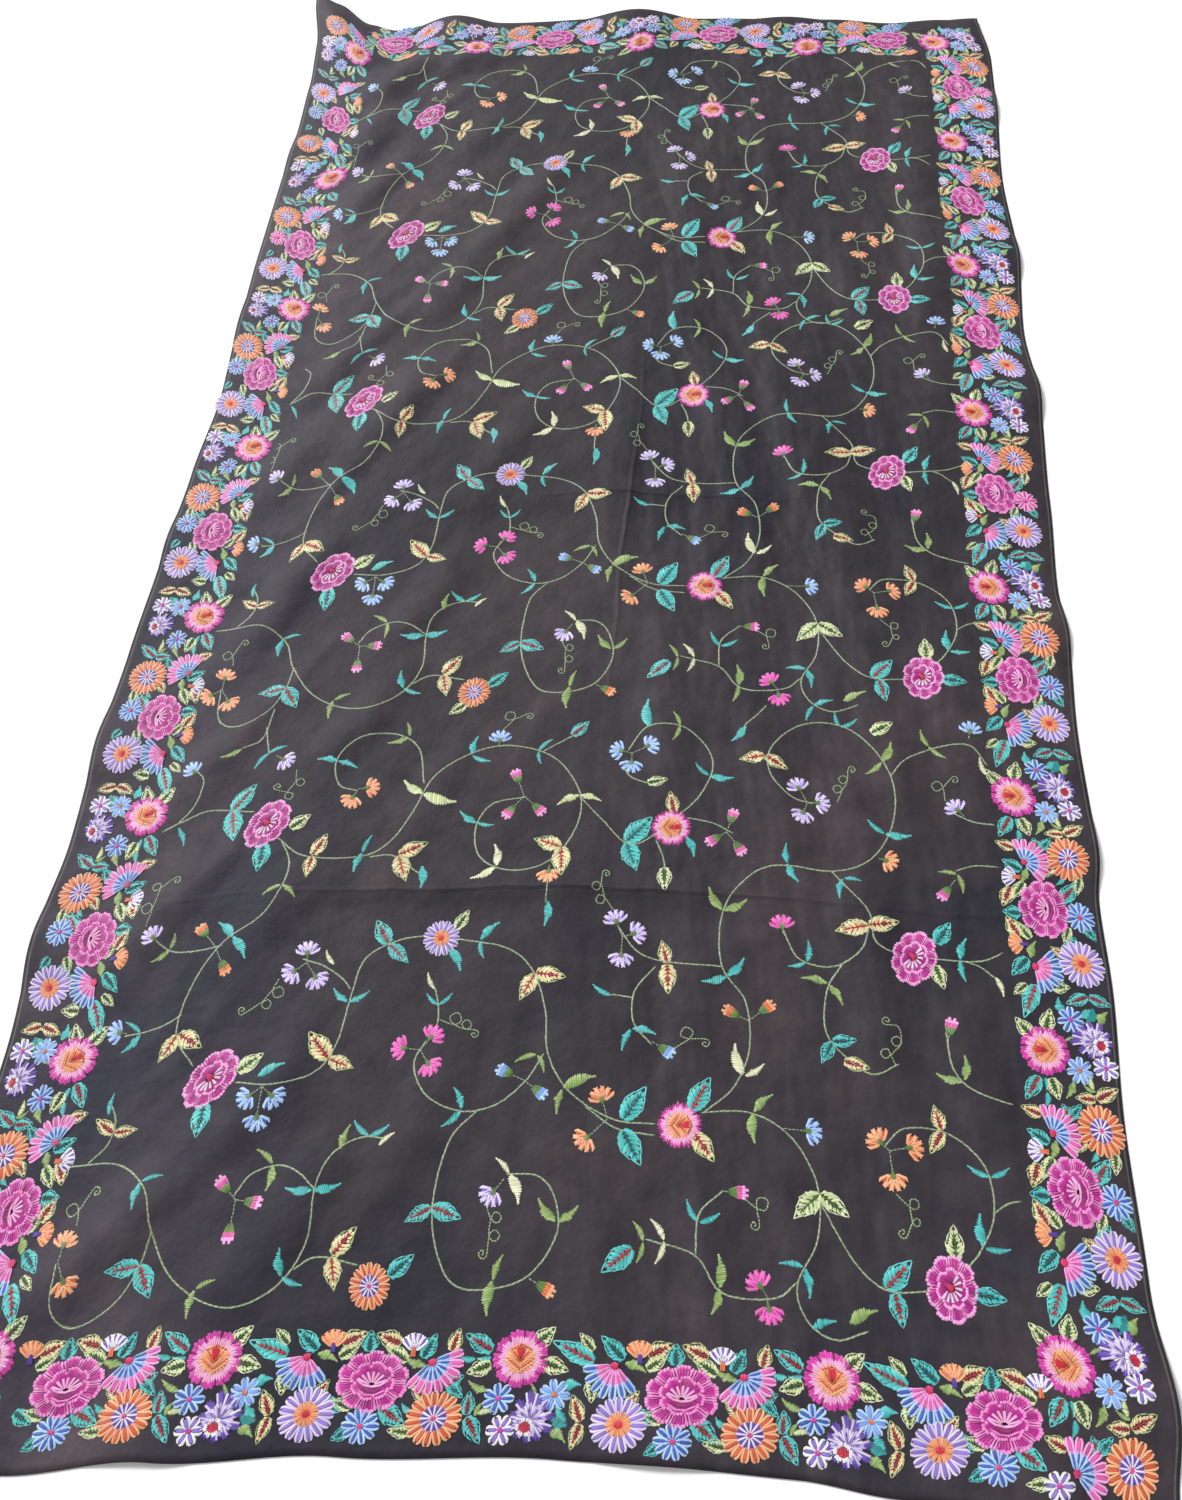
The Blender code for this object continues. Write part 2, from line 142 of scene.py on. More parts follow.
# Finer creases, too narrow for the frame's solid, in the same order of values
CREASES = [Fold(*row) for row in (
    (-0.330, 0.520, 58, 0.20, 0.040, 0.0022), (-0.300, 0.330, 56, 0.22, 0.042, 0.0026),
    (-0.210, 0.260, 62, 0.18, 0.036, 0.0018), (-0.340, 0.020, 58, 0.20, 0.040, 0.0024),
    (-0.250, 0.010, 60, 0.18, 0.034, 0.0016), (-0.300, -0.220, 60, 0.20, 0.036, 0.0018),
    (-0.150, -0.230, 64, 0.16, 0.032, 0.0014), (-0.335, -0.430, 58, 0.17, 0.036, 0.0018),
    (-0.210, -0.440, 61, 0.19, 0.032, 0.0015), (-0.330, -0.640, 56, 0.20, 0.036, 0.0020),
    (-0.180, -0.620, 60, 0.16, 0.032, 0.0014), (-0.300, -0.770, 52, 0.18, 0.038, 0.0022),
    (-0.160, -0.840, 57, 0.17, 0.034, 0.0016), (-0.060, -0.560, 68, 0.15, 0.030, 0.0012),
    (-0.040, -0.300, 72, 0.17, 0.032, 0.0014), (0.180, 0.330, 103, 0.24, 0.040, 0.0022),
    (0.300, 0.220, 104, 0.20, 0.036, 0.0018), (0.350, 0.330, 96, 0.22, 0.036, 0.0020),
    (0.130, -0.100, 98, 0.22, 0.036, 0.0018), (0.290, -0.160, 101, 0.20, 0.036, 0.0018),
    (0.240, -0.520, 99, 0.20, 0.036, 0.0018), (0.350, -0.480, 97, 0.18, 0.034, 0.0018),
    (0.190, -0.870, 98, 0.14, 0.032, 0.0014), (0.330, -0.790, 101, 0.18, 0.036, 0.0018),
    (0.070, 0.380, 100, 0.22, 0.036, 0.0016), (0.240, 0.560, 101, 0.22, 0.038, 0.0020),
    (0.330, 0.700, 97, 0.20, 0.036, 0.0018), (-0.100, 0.730, 66, 0.20, 0.036, 0.0016),
    (-0.290, 0.790, 50, 0.18, 0.040, 0.0024), (0.080, 0.820, 98, 0.16, 0.034, 0.0016),
    # Narrow ridges at the same folds
    (0.032, -0.030, 93, 0.56, 0.024, 0.0017), (0.050, 0.014, 1, 0.34, 0.024, 0.0014),
    (0.020, -0.500, 1, 0.92, 0.024, 0.0017), (0.045, 0.300, 91, 0.30, 0.026, 0.0010),
)]

# The shell that shows: its thickness, and how many faces it has across and along
CLOTH_THICKNESS = 0.0010
CLOTH_COLUMNS = 150
CLOTH_ROWS = 288
# The pale line woven just inside each long edge: its distance from the middle line, and half its width
SELVEDGE_PLACE = 0.5165
SELVEDGE_WIDTH = 0.0012

# The sharp lines at its folds, shown in the cloth's relief: the axis that a line crosses, its place on
# that axis, its middle and half its length, in metres
SharpLine = namedtuple("SharpLine", "axis place middle half_length")
SHARP_LINES = [
    SharpLine("along", -0.500, 0.020, 0.50), SharpLine("along", 0.012, 0.050, 0.22),
    SharpLine("across", 0.030, -0.020, 0.34),
]
SHARP_LINE_WIDTH = 0.0040

# Colours of the thread, in the usual 0 to 255
COLOURS = {
    "magenta": (202, 36, 156), "magenta_dark": (134, 18, 98), "magenta_light": (222, 66, 176),
    "pink": (252, 166, 224), "pink_edge": (236, 110, 190), "pink_deep": (226, 92, 168),
    "hot_pink": (232, 62, 136), "rose_light": (252, 172, 214),
    "orange": (240, 124, 78), "orange_light": (252, 176, 130), "orange_dark": (204, 90, 54),
    "red": (222, 36, 66), "red_dark": (150, 26, 54), "vein_red": (186, 40, 56),
    "lilac": (220, 204, 242), "lilac_mid": (142, 116, 204), "violet": (92, 62, 166), "purple": (116, 86, 190),
    "blue": (126, 164, 238), "blue_light": (174, 206, 250), "blue_dark": (62, 92, 182),
    "teal": (32, 162, 162), "teal_light": (98, 210, 206), "teal_dark": (18, 104, 106),
    "green": (112, 150, 74), "green_light": (172, 194, 122), "green_dark": (70, 104, 50),
    "pale_green": (190, 206, 138), "pale_light": (224, 232, 186),
    "straw": (214, 196, 138), "straw_light": (236, 224, 178), "cream": (230, 228, 196),
    "vine": (172, 186, 152), "vine_dark": (104, 126, 92), "white": (240, 236, 244),
}

# Columns of a strand: both ends, the bow of its middle, three widths, the height that it
# lies at, how far it stands up from there, and its colour at each end
FROM, TO, BOW, WIDTHS = slice(0, 2), slice(2, 4), 4, slice(5, 8)
BASE, RISE, START_COLOUR, END_COLOUR = 8, 9, slice(10, 13), slice(13, 16)


def linear(name):
    """A named colour as light adds it up."""
    shares = np.array(COLOURS[name]) / 255
    return np.where(shares <= 0.04045, shares / 12.92, ((shares + 0.055) / 1.055) ** 2.4)


# The laid cloth

# How often a place is put right until it fits the laid cloth, and how many points of an edge are looked at
PLACE_ROUNDS = 8
EDGE_POINTS = 401


def eased(table, place):
    """How far the edge lies out at places, eased smoothly from row to row."""
    along, out = np.array(table).T
    low = np.clip(np.searchsorted(along, place) - 1, 0, len(table) - 2)
    share = np.clip((place - along[low]) / (along[low + 1] - along[low]), 0, 1)
    share = share * share * (3 - 2 * share)
    return out[low] + (out[low + 1] - out[low]) * share


def plan(across, along):
    """Where points of the flat cloth lie when the shawl is laid out."""
    right_share = across / CLOTH_WIDTH + 0.5
    far_share = along / CLOTH_LENGTH + 0.5
    x = across + (1 - right_share) * eased(LEFT_EDGE, along) + right_share * eased(RIGHT_EDGE, along)
    y = along + (1 - far_share) * eased(NEAR_EDGE, across) + far_share * eased(FAR_EDGE, across)
    return x, y


def flat_place(x, y):
    """The point of the flat cloth that lies at a place of the laid one."""
    across, along = x, y
    for _ in range(PLACE_ROUNDS):
        laid_x, laid_y = plan(across, along)
        across = across + x - laid_x
        along = along + y - laid_y
    return across, along


def cloth_middle():
    """Middle of the laid cloth's outline, which is the origin."""
    share = np.linspace(-0.5, 0.5, EDGE_POINTS)
    half = np.full(EDGE_POINTS, 0.5)
    near, far = (plan(CLOTH_WIDTH * share, CLOTH_LENGTH * end) for end in (-half, half))
    left, right = (plan(CLOTH_WIDTH * side, CLOTH_LENGTH * share) for side in (-half, half))
    x, y = np.hstack([near, far, left, right])
    return (x.min() + x.max()) / 2, (y.min() + y.max()) / 2


def hump(share):
    """One at the middle, falling smoothly to nothing at a share of one."""
    return np.clip(1 - share * share, 0, None) ** 2


def lift(across, along):
    """Height of the cloth's underside above the floor, nothing where it lies flat."""
    height = np.zeros_like(across)
    for fold in FOLDS + CREASES:
        turn = math.radians(fold.turn)
        dx = across - fold.x
        dy = along - fold.y
        down = dx * math.cos(turn) + dy * math.sin(turn)
        over = dy * math.cos(turn) - dx * math.sin(turn)
        height += fold.height * hump(2 * down / fold.length) * hump(2 * over / fold.width)
    return np.maximum(0, height - REST_DEPTH)


MIDDLE = cloth_middle()
GRID_ACROSS = np.linspace(-CLOTH_WIDTH / 2, CLOTH_WIDTH / 2, CLOTH_COLUMNS + 1)
GRID_ALONG = np.linspace(-CLOTH_LENGTH / 2, CLOTH_LENGTH / 2, CLOTH_ROWS + 1)
GRID_LIFT = lift(*np.meshgrid(GRID_ACROSS, GRID_ALONG))


def cloth_top(across, along):
    """Height of the shell's upper face, between the points of its own grid."""
    column = np.clip((across / CLOTH_WIDTH + 0.5) * CLOTH_COLUMNS, 0, CLOTH_COLUMNS - 1e-6)
    row = np.clip((along / CLOTH_LENGTH + 0.5) * CLOTH_ROWS, 0, CLOTH_ROWS - 1e-6)
    low_column, low_row = column.astype(int), row.astype(int)
    right, up = column - low_column, row - low_row
    near = GRID_LIFT[low_row, low_column] * (1 - right) + GRID_LIFT[low_row, low_column + 1] * right
    far = GRID_LIFT[low_row + 1, low_column] * (1 - right)
    far = far + GRID_LIFT[low_row + 1, low_column + 1] * right
    return near * (1 - up) + far * up + CLOTH_THICKNESS


# Strands, in millimetres


def strand(start, end, widths, base, rise, colour, end_colour=None, bow=0.0):
    """One strand of thread."""
    colours = [*linear(colour), *linear(end_colour or colour)]
    return [*start, *end, bow, *widths, base, rise, *colours]


def turned(rows, degrees):
    """Strands turned about their origin."""
    cos, sin = math.cos(math.radians(degrees)), math.sin(math.radians(degrees))
    turn = np.array([[cos, sin], [-sin, cos]])
    rows = rows.copy()
    rows[:, FROM] = rows[:, FROM] @ turn
    rows[:, TO] = rows[:, TO] @ turn
    return rows


def sized(rows, wide, tall):
    """Strands stretched about their origin."""
    rows = rows.copy()
    rows[:, FROM] *= (wide, tall)
    rows[:, TO] *= (wide, tall)
    rows[:, BOW] *= math.sqrt(abs(wide * tall))
    rows[:, WIDTHS] *= math.sqrt(abs(wide * tall))
    return rows


def moved(rows, x, y):
    """Strands moved to a place."""
    rows = rows.copy()
    rows[:, FROM] += (x, y)
    rows[:, TO] += (x, y)
    return rows


def petal(inner, outer, inner_width, outer_width, count, base, rise, colours, round_tip=0.5, ragged=0.0,
          edge=None):
    """A petal that grows along the first axis, worked in strands that lie side by side and overlap."""
    rows = []
    middle_width = (inner_width + outer_width) / 2
    widths = (1.15 * inner_width / count, 1.3 * middle_width / count, 1.1 * outer_width / count)
    for index in range(count):
        side = (index + 0.5) / count * 2 - 1
        tip = round_tip * outer_width * (1 - math.sqrt(max(0.0, 1 - (0.92 * side) ** 2)))
        reach = outer - tip + ragged * (0.5 if index % 2 else -0.5)
        crown = base + 0.35 * rise * (1 - side * side)
        own_colours = edge if edge and index in (0, count - 1) else colours
        start, end = (inner, side * inner_width / 2), (reach, side * outer_width * 0.45)
        rows.append(strand(start, end, widths, crown, rise, *own_colours))
    return np.array(rows)


def outlined_petal(inner, outer, width, middle, rim, base=0.0, rise=0.55):
    """A narrow petal: a dark strand inside a pale outline that closes round its tip."""
    widths = (0.22 * width, 0.44 * width, 0.42 * width)
    rows = [strand((inner, 0), (outer - 0.16 * width, 0), widths, base, rise, middle)]
    widths = (0.16 * width, 0.27 * width, 0.27 * width)
    for side in (-1, 1):
        start, end = (inner, side * 0.07 * width), (outer, side * 0.15 * width)
        rows.append(strand(start, end, widths, base + 0.15, rise, rim, bow=side * 0.24 * width))
    return np.array(rows)


def ring(rows, count, first=0.0, span=360.0):
    """Copies of a petal round a middle."""
    return np.vstack([turned(rows, first + span * index / count) for index in range(count)])


def frilled(inner, outer, count, lobes, notch, base, body, rim=None, band=0.0, first=0.0, ragged=0.3):
    """A round of strands out to a scalloped edge, with a band of another colour along it."""
    near, far = 2 * math.pi * inner / count, 2 * math.pi * outer / count
    body_widths = (1.2 * near, 0.62 * (near + far), 1.15 * far)
    rim_widths = (1.1 * far, 1.25 * far, 0.9 * far)
    rows = []
    for index in range(count):
        turn = 360 * (index + 0.5) / count
        lobe = abs(math.sin(math.radians((turn - first) * lobes / 2)))
        reach = outer * (1 - notch * (1 - lobe) ** 2) + ragged * (0.5 if index % 2 else -0.5)
        ray = [strand((inner, 0), (reach - band / 2, 0), body_widths, base, 0.5, *body)]
        if rim:
            ray.append(strand((reach - band, 0), (reach, 0), rim_widths, base + 0.35, 0.5, *rim))
        rows.append(turned(np.array(ray), turn))
    return np.vstack(rows)


def disc(radius, count, base, rise, colours):
    """A small filled round of strands laid side by side."""
    rows = []
    for index in range(count):
        side = ((index + 0.5) / count * 2 - 1) * radius
        half = math.sqrt(max(0.1, radius * radius - side * side))
        width = 2.5 * radius / count
        rows.append(strand((side, -half), (side, half), (width, width, width), base, rise, *colours))
    return np.array(rows)


def curve_line(points, width, base, rise, colour, end_colour=None):
    """Strands end to end along a few points."""
    rows = []
    for start, end in zip(points[:-1], points[1:]):
        start, end = np.array(start, float), np.array(end, float)
        run = (end - start) * 0.12
        rows.append(strand(start - run, end + run, (width * 0.8, width, width * 0.8), base, rise, colour,
                           end_colour))
    return np.array(rows)


def petal_lines(lobes, reach):
    """Lines that part the petals of a peony: dark between two pale ones, with fine ones between."""
    shade = petal(17.0, reach - 2.8, 0.6, 0.8, 1, 0.40, 0.4, ("magenta_dark", "magenta_dark"))
    side = petal(15.0, reach - 0.8, 0.9, 1.7, 1, 0.5, 0.5, ("pink_edge", "pink"))
    glint = petal(17.6, reach - 3.4, 0.8, 1.1, 1, 0.45, 0.45, ("magenta_light", "pink_edge"))
    return np.vstack([
        ring(shade, lobes), ring(moved(side, 0, 1.2), lobes), ring(moved(side, 0, -1.2), lobes),
        ring(glint, 2 * lobes, 90 / lobes),
    ])


def peony():
    """A full flower in magenta with pale frills, its cup open to the field."""
    rows = [frilled(11.0, 29.4, 60, 10, 0.19, 0.0, ("magenta_dark", "magenta"), ("pink_edge", "pink"), 3.4),
            petal_lines(10, 28.0)]
    body, rim = ("magenta_dark", "magenta"), ("pink_edge", "pink")
    rows.append(moved(frilled(5.0, 18.6, 44, 8, 0.20, 0.5, body, rim, 2.8, 12), 0, 0.6))
    fan_ground = petal(2.0, 13.0, 9.0, 18.0, 9, 0.85, 0.35, ("magenta_dark", "magenta"), 0.3)
    rows.append(moved(turned(fan_ground, 90), 0, -3.0))
    slim = petal(2.6, 13.0, 1.3, 2.3, 1, 1.25, 0.45, ("rose_light", "pink"))
    rows.append(moved(ring(slim, 7, 24, 154), 0, -3.4))
    lip = [(-12, 0.8), (-6.5, -3.4), (0, -4.8), (6.5, -3.4), (12, 0.8)]
    rows.append(curve_line(lip, 2.5, 1.3, 0.5, "pink", "rose_light"))
    hollow = [(-8, -6.4), (-2.8, -9.8), (2.8, -9.8), (8, -6.4)]
    rows.append(curve_line(hollow, 1.7, 1.1, 0.45, "magenta_dark"))
    hem = [(-10, -8.4), (-3.6, -12.4), (3.6, -12.4), (10, -8.4)]
    rows.append(curve_line(hem, 1.8, 1.1, 0.45, "pink_edge", "pink"))
    return sized(np.vstack(rows), 1.0, 0.80)


def field_peony():
    """The field's peony, rounder, with a red heart and pale rays."""
    rows = [frilled(10.0, 28.4, 58, 9, 0.21, 0.0, ("magenta_dark", "magenta"), ("pink", "pink"), 3.4),
            petal_lines(9, 27.0),
            frilled(4.0, 17.6, 42, 7, 0.22, 0.5, ("magenta_dark", "magenta"), ("pink", "pink"), 3.0, 8)]
    ray = petal(4.6, 12.6, 1.4, 2.7, 1, 1.1, 0.5, ("pink", "white"), 0.5)
    rows.append(moved(ring(ray, 8, 165, 210), 0, 2.0))
    heart = petal(-4.4, 6.0, 7.0, 2.0, 6, 1.2, 0.5, ("red", "hot_pink"), 0.4)
    rows.append(moved(turned(heart, 90), 0, 3.0))
    return np.vstack(rows)


def rose():
    """A round flower of magenta petals with a pink ring and an orange cup."""
    shade = petal(14.8, 21.2, 0.8, 1.0, 1, 0.45, 0.4, ("magenta_dark", "magenta_dark"))
    rows = [frilled(13.4, 21.8, 62, 9, 0.11, 0.0, ("magenta", "magenta_light"), None, 0.0, 4, 1.0),
            ring(shade, 9, 4),
            frilled(9.4, 18.0, 48, 9, 0.12, 0.3, ("rose_light", "rose_light"), None, 0.0, 4, 1.0),
            sized(frilled(1.4, 12.0, 24, 5, 0.06, 0.65, ("orange", "orange_light")), 1.0, 0.94)]
    for depth, reach, colour in ((-10.0, 9.6, "orange_light"), (-7.4, 9.4, "orange_dark"),
                                 (-4.8, 8.0, "orange_light"), (-1.6, 6.0, "orange_dark")):
        chevron = [(-reach, depth + 6.8), (0, depth), (reach, depth + 6.8)]
        rows.append(curve_line(chevron, 1.3, 1.1, 0.4, colour))
    rows.append(curve_line([(-7.4, 7.2), (0, 10.6), (7.4, 7.2)], 1.2, 1.1, 0.4, "orange_dark"))
    heart = petal(-4.0, 4.6, 2.4, 7.4, 6, 1.35, 0.5, ("red", "red"), 0.35)
    rows.append(moved(turned(heart, 90), 0, 4.4))
    return np.vstack(rows)


def zinnia():
    """A flat orange flower of two rows of petals round a violet star."""
    ground = petal(8.0, 16.0, 3.2, 5.6, 3, 0.0, 0.4, ("red_dark", "orange_dark"), 0.2)
    ray = petal(1.2, 10.8, 0.9, 1.9, 1, 0.8, 0.45, ("white", "lilac"))
    shade = petal(1.5, 10.4, 1.4, 3.6, 2, 0.45, 0.4, ("violet", "violet"))
    return np.vstack([
        ring(ground, 15, 12), ring(outlined_petal(9.0, 22.0, 8.8, "orange_dark", "orange_light", 0.2), 15),
        ring(shade, 12, 15), ring(ray, 12), disc(2.1, 3, 1.2, 0.5, ("magenta_light", "hot_pink")),
    ])


def daisy():
    """A flower of slim pale petals, shaded violet, with an orange middle."""
    ground = petal(7.0, 14.0, 3.0, 4.6, 2, 0.0, 0.3, ("violet", "violet"), 0.2)
    middle = petal(2.0, 10.2, 1.4, 4.6, 2, 0.6, 0.5, ("orange", "orange_light"), 0.4, 1.0)
    return np.vstack([
        ring(ground, 15, 12), ring(outlined_petal(8.4, 22.4, 8.8, "lilac_mid", "lilac", 0.15), 15),
        ring(middle, 12), disc(3.0, 4, 1.1, 0.5, ("red", "red")),
    ])


def small_bloom(petals, radius, width, colours, middle):
    """A small flower of a few outlined petals."""
    rounds = ring(outlined_petal(1.8, radius, width, *colours), petals)
    return np.vstack([rounds, disc(1.9, 3, 0.8, 0.5, (middle, middle))])


def iris():
    """A ragged purple flower, seen from the side, with a dark red throat."""
    rows = []
    for turn, reach in ((-58, 17), (-22, 19), (14, 18), (48, 20), (74, 21), (98, 22), (130, 18), (166, 16),
                        (202, 16), (238, 16), (270, 17)):
        spike = petal(6.0, reach, 4.4, 7.6, 6, 0.0, 0.55, ("lilac_mid", "violet"), 0.55, 1.4,
                      ("purple", "violet"))
        rows.append(turned(spike, turn))
        rows.append(turned(petal(7.0, reach - 1.2, 1.4, 1.8, 1, 0.4, 0.5, ("lilac", "lilac")), turn + 8))
    for turn in range(0, 360, 45):
        inner = petal(1.0, 12.6, 1.8, 8.4, 5, 0.45, 0.55, ("lilac_mid", "lilac"), 0.3, 1.2,
                      ("lilac", "white"))
        rows.append(turned(inner, turn + 12))
        rows.append(turned(petal(4.0, 10.6, 1.2, 1.6, 1, 0.8, 0.5, ("violet", "purple")), turn + 12))
    rim = petal(3.6, 7.2, 4.2, 6.0, 3, 0.95, 0.5, ("white", "white"), 0.2)
    rows.append(moved(ring(rim, 6), -3.0, -5.6))
    rows.append(moved(disc(4.2, 5, 1.3, 0.5, ("red", "red_dark")), -3.0, -5.6))
    return np.vstack(rows)


def fan(count, first, span, inner_colours, outer_colours):
    """A half-open flower in two rows of colour, spread round its red heart."""
    # The petals touch one another 23 mm out, and the last one ends the span
    width = math.radians(span) / (count - 1) * 23.0
    round_span = span * count / (count - 1)
    return np.vstack([
        ring(outlined_petal(10.5, 26.0, width, *outer_colours), count, first, round_span),
        ring(outlined_petal(3.0, 16.0, 0.72 * width, *inner_colours, base=0.35), count, first, round_span),
        disc(2.9, 4, 1.0, 0.5, ("red", "hot_pink")),
    ])


def half_bud(colours, sepal):
    """A small half flower that opens along the first axis."""
    petals = ring(outlined_petal(0.8, 13.4, 8.4, *colours), 5, -46, 115)
    cup = petal(-4.6, 3.0, 4.6, 3.0, 4, 0.6, 0.5, (sepal, sepal), 0.2)
    return np.vstack([petals, cup])


def spray_head(dark, light):
    """A small half flower of the field: dark petals inside pale outlines, in a green cup."""
    petals = ring(outlined_petal(0.6, 13.2, 11.4, dark, light), 5, -60, 150)
    cup = petal(-4.2, 3.4, 2.8, 4.6, 3, 0.6, 0.5, ("green_dark", "green"), 0.2)
    return np.vstack([petals, cup])


def bell_bud(dark, light):
    """A small bell with a green cup and a pale zigzag lip."""
    cup = petal(0.0, 6.6, 3.4, 8.4, 4, 0.3, 0.5, ("green_dark", "green"), 0.25)
    bell = petal(5.0, 11.4, 8.4, 9.6, 5, 0.0, 0.5, (dark, dark), 0.05)
    lip = petal(9.6, 13.4, 8.8, 9.8, 5, 0.25, 0.5, (light, light), 0.05, 2.0)
    return sized(np.vstack([bell, lip, cup]), 1.2, 1.3)


VEINED_WIDTH = 0.55
SATIN_WIDTH = 0.38
SATIN_BEND = 0.10


def half_width(place):
    """Half the width of a veined leaf one unit long at a place from its foot."""
    return VEINED_WIDTH / 2 * math.sin(math.pi * min(1.0, max(0.0, place)) ** 0.78) ** 1.25


def veined_leaf(light, dark, vein, edge):
    """A pointed leaf one unit long: slanted stitches, a toothed rim and a few veins."""
    rows = []
    for side in (-1, 1):
        for foot in 0.115 * np.arange(7):
            reach = min(0.97, foot + 0.22)
            start, end = (foot, side * 0.01), (reach, side * half_width(reach))
            rows.append(strand(start, end, (0.12, 0.165, 0.11), 0.0, 0.45, dark, light, side * 0.02))
        for index, foot in enumerate(0.01 + 0.247 * np.arange(4)):
            reach = min(1.02, foot + 0.275)
            tooth = 0.0 if index == 3 else 0.022
            start = (foot, side * max(0.0, half_width(foot) - 0.012))
            end = (reach, side * (half_width(reach) + tooth))
            rows.append(strand(start, end, (0.036, 0.052, 0.030), 0.25, 0.5, edge, bow=side * 0.014))
        for foot in 0.12 + 0.17 * np.arange(4):
            end = (foot + 0.12, side * 0.55 * half_width(foot + 0.10))
            rows.append(strand((foot, 0), end, (0.032, 0.050, 0.030), 0.3, 0.42, vein))
    rows.append(strand((0.0, 0), (0.44, 0.0), (0.038, 0.048, 0.040), 0.35, 0.45, vein))
    rows.append(strand((0.40, 0), (0.84, 0.0), (0.040, 0.042, 0.028), 0.35, 0.45, vein))
    return np.array(rows)


def satin_leaf(light, dark):
    """A slim curved leaf one unit long, its stitches slanted right across it."""
    def rim(place, side):
        place = min(1.0, max(0.0, place))
        half = SATIN_WIDTH / 2 * math.sin(math.pi * place ** 0.76)
        return place, 4 * SATIN_BEND * place * (1 - place) + side * half

    widths = (0.075, 0.110, 0.070)
    return np.array([strand(rim(place - 0.05, -1), rim(place + 0.08, 1), widths, 0.0, 0.5, dark, light)
                     for place in np.linspace(0.04, 0.93, 14)])


LEAVES = {
    "red_teal": veined_leaf("teal_light", "teal", "vein_red", "teal_light"),
    "red_pale": veined_leaf("straw_light", "straw", "vein_red", "pale_green"),
    "teal_veined": veined_leaf("teal_light", "teal", "teal_dark", "teal_light"),
    "pale_veined": veined_leaf("pale_light", "pale_green", "green_dark", "pale_light"),
    "teal": satin_leaf("teal_light", "teal"),
    "teal_deep": satin_leaf("teal", "teal_dark"),
    "green": satin_leaf("green_light", "green"),
    "pale": satin_leaf("pale_light", "pale_green"),
    "cream": satin_leaf("cream", "pale_light"),
}
BLUES = ("blue_dark", "blue_light")
PINKS = ("pink_deep", "pink")
BLOOMS = {
    "peony": peony(), "field_peony": field_peony(), "rose": rose(), "zinnia": zinnia(), "daisy": daisy(),
    "iris": iris(),
    "blue_daisy": small_bloom(10, 13.8, 7.4, BLUES, "hot_pink"),
    "magenta_daisy": small_bloom(10, 13.8, 7.4, ("magenta", "rose_light"), "hot_pink"),
    "small_blue": small_bloom(7, 12.6, 8.6, BLUES, "magenta_light"),
    "small_blue_warm": small_bloom(7, 12.6, 8.6, ("blue", "blue_light"), "orange"),
    "small_lilac": small_bloom(6, 11.4, 9.4, ("lilac_mid", "white"), "magenta_light"),
    "fan_pink_rim": fan(8, -132, 150, BLUES, PINKS), "fan_blue_rim": fan(7, -170, 122, PINKS, BLUES),
    "orange_bud": half_bud(("orange", "orange_light"), "violet"),
    "lilac_bud": half_bud(("purple", "white"), "orange"),
}


def leaf_at(kind, x, y, tip_x, tip_y, width=1.0):
    """A leaf from its foot to its tip; a width below nothing curves it the other way."""
    length = math.hypot(tip_x - x, tip_y - y)
    turn = math.degrees(math.atan2(tip_y - y, tip_x - x))
    return moved(turned(sized(LEAVES[kind], length, length * width), turn), x, y)


# The border's design in millimetres: places along it from a peony, and depths from its inner edge
Bloom = namedtuple("Bloom", "kind along depth wide tall turn", defaults=(1.0, 1.0, 0))
BORDER_BLOOMS = [Bloom(*row) for row in (
    ("peony", 0, 43, 1.03, 1.00), ("zinnia", 57, 70, 1.04, 0.92), ("rose", 122, 26, 1.04, 1.00),
    ("iris", 137, 71, 1.06, 0.98), ("daisy", 210, 70, 1.03, 0.92), ("blue_daisy", -3, 76, 1.12, 0.98),
    ("small_blue", 108, 56, 1.02, 0.92), ("small_blue_warm", 154, 52, 1.02, 0.94), ("small_lilac", 114, 79),
    ("fan_pink_rim", 48, 28, 1.00, 0.96), ("fan_blue_rim", 201, 27),
    ("orange_bud", 222, 19, 1.00, 1.00, 92), ("lilac_bud", 31, 19, 1.00, 1.00, 88),
)]
# On the left border the flowers lean forward, and two of them change places
LEFT_BLOOMS = [Bloom(*row) for row in (
    ("peony", 0, 42), ("zinnia", 49, 70, 1.00, 0.96), ("rose", 140, 27, 1.02, 1.06, -35),
    ("iris", 119, 76, 1.00, 0.80), ("daisy", 209, 74, 0.98, 0.94), ("blue_daisy", 5, 77, 1.06, 0.94),
    ("small_blue", 102, 50, 1.00, 0.92), ("small_blue_warm", 147, 58, 1.00, 0.94), ("small_lilac", 146, 80),
    ("fan_pink_rim", 62, 24, 0.98, 0.98, 6), ("fan_blue_rim", 217, 30, 1.00, 1.00, -10),
    ("orange_bud", 242, 14, 1.00, 1.00, 92), ("lilac_bud", 46, 16, 1.00, 1.00, 88),
)]
Leaf = namedtuple("Leaf", "kind along depth tip_along tip_depth width")
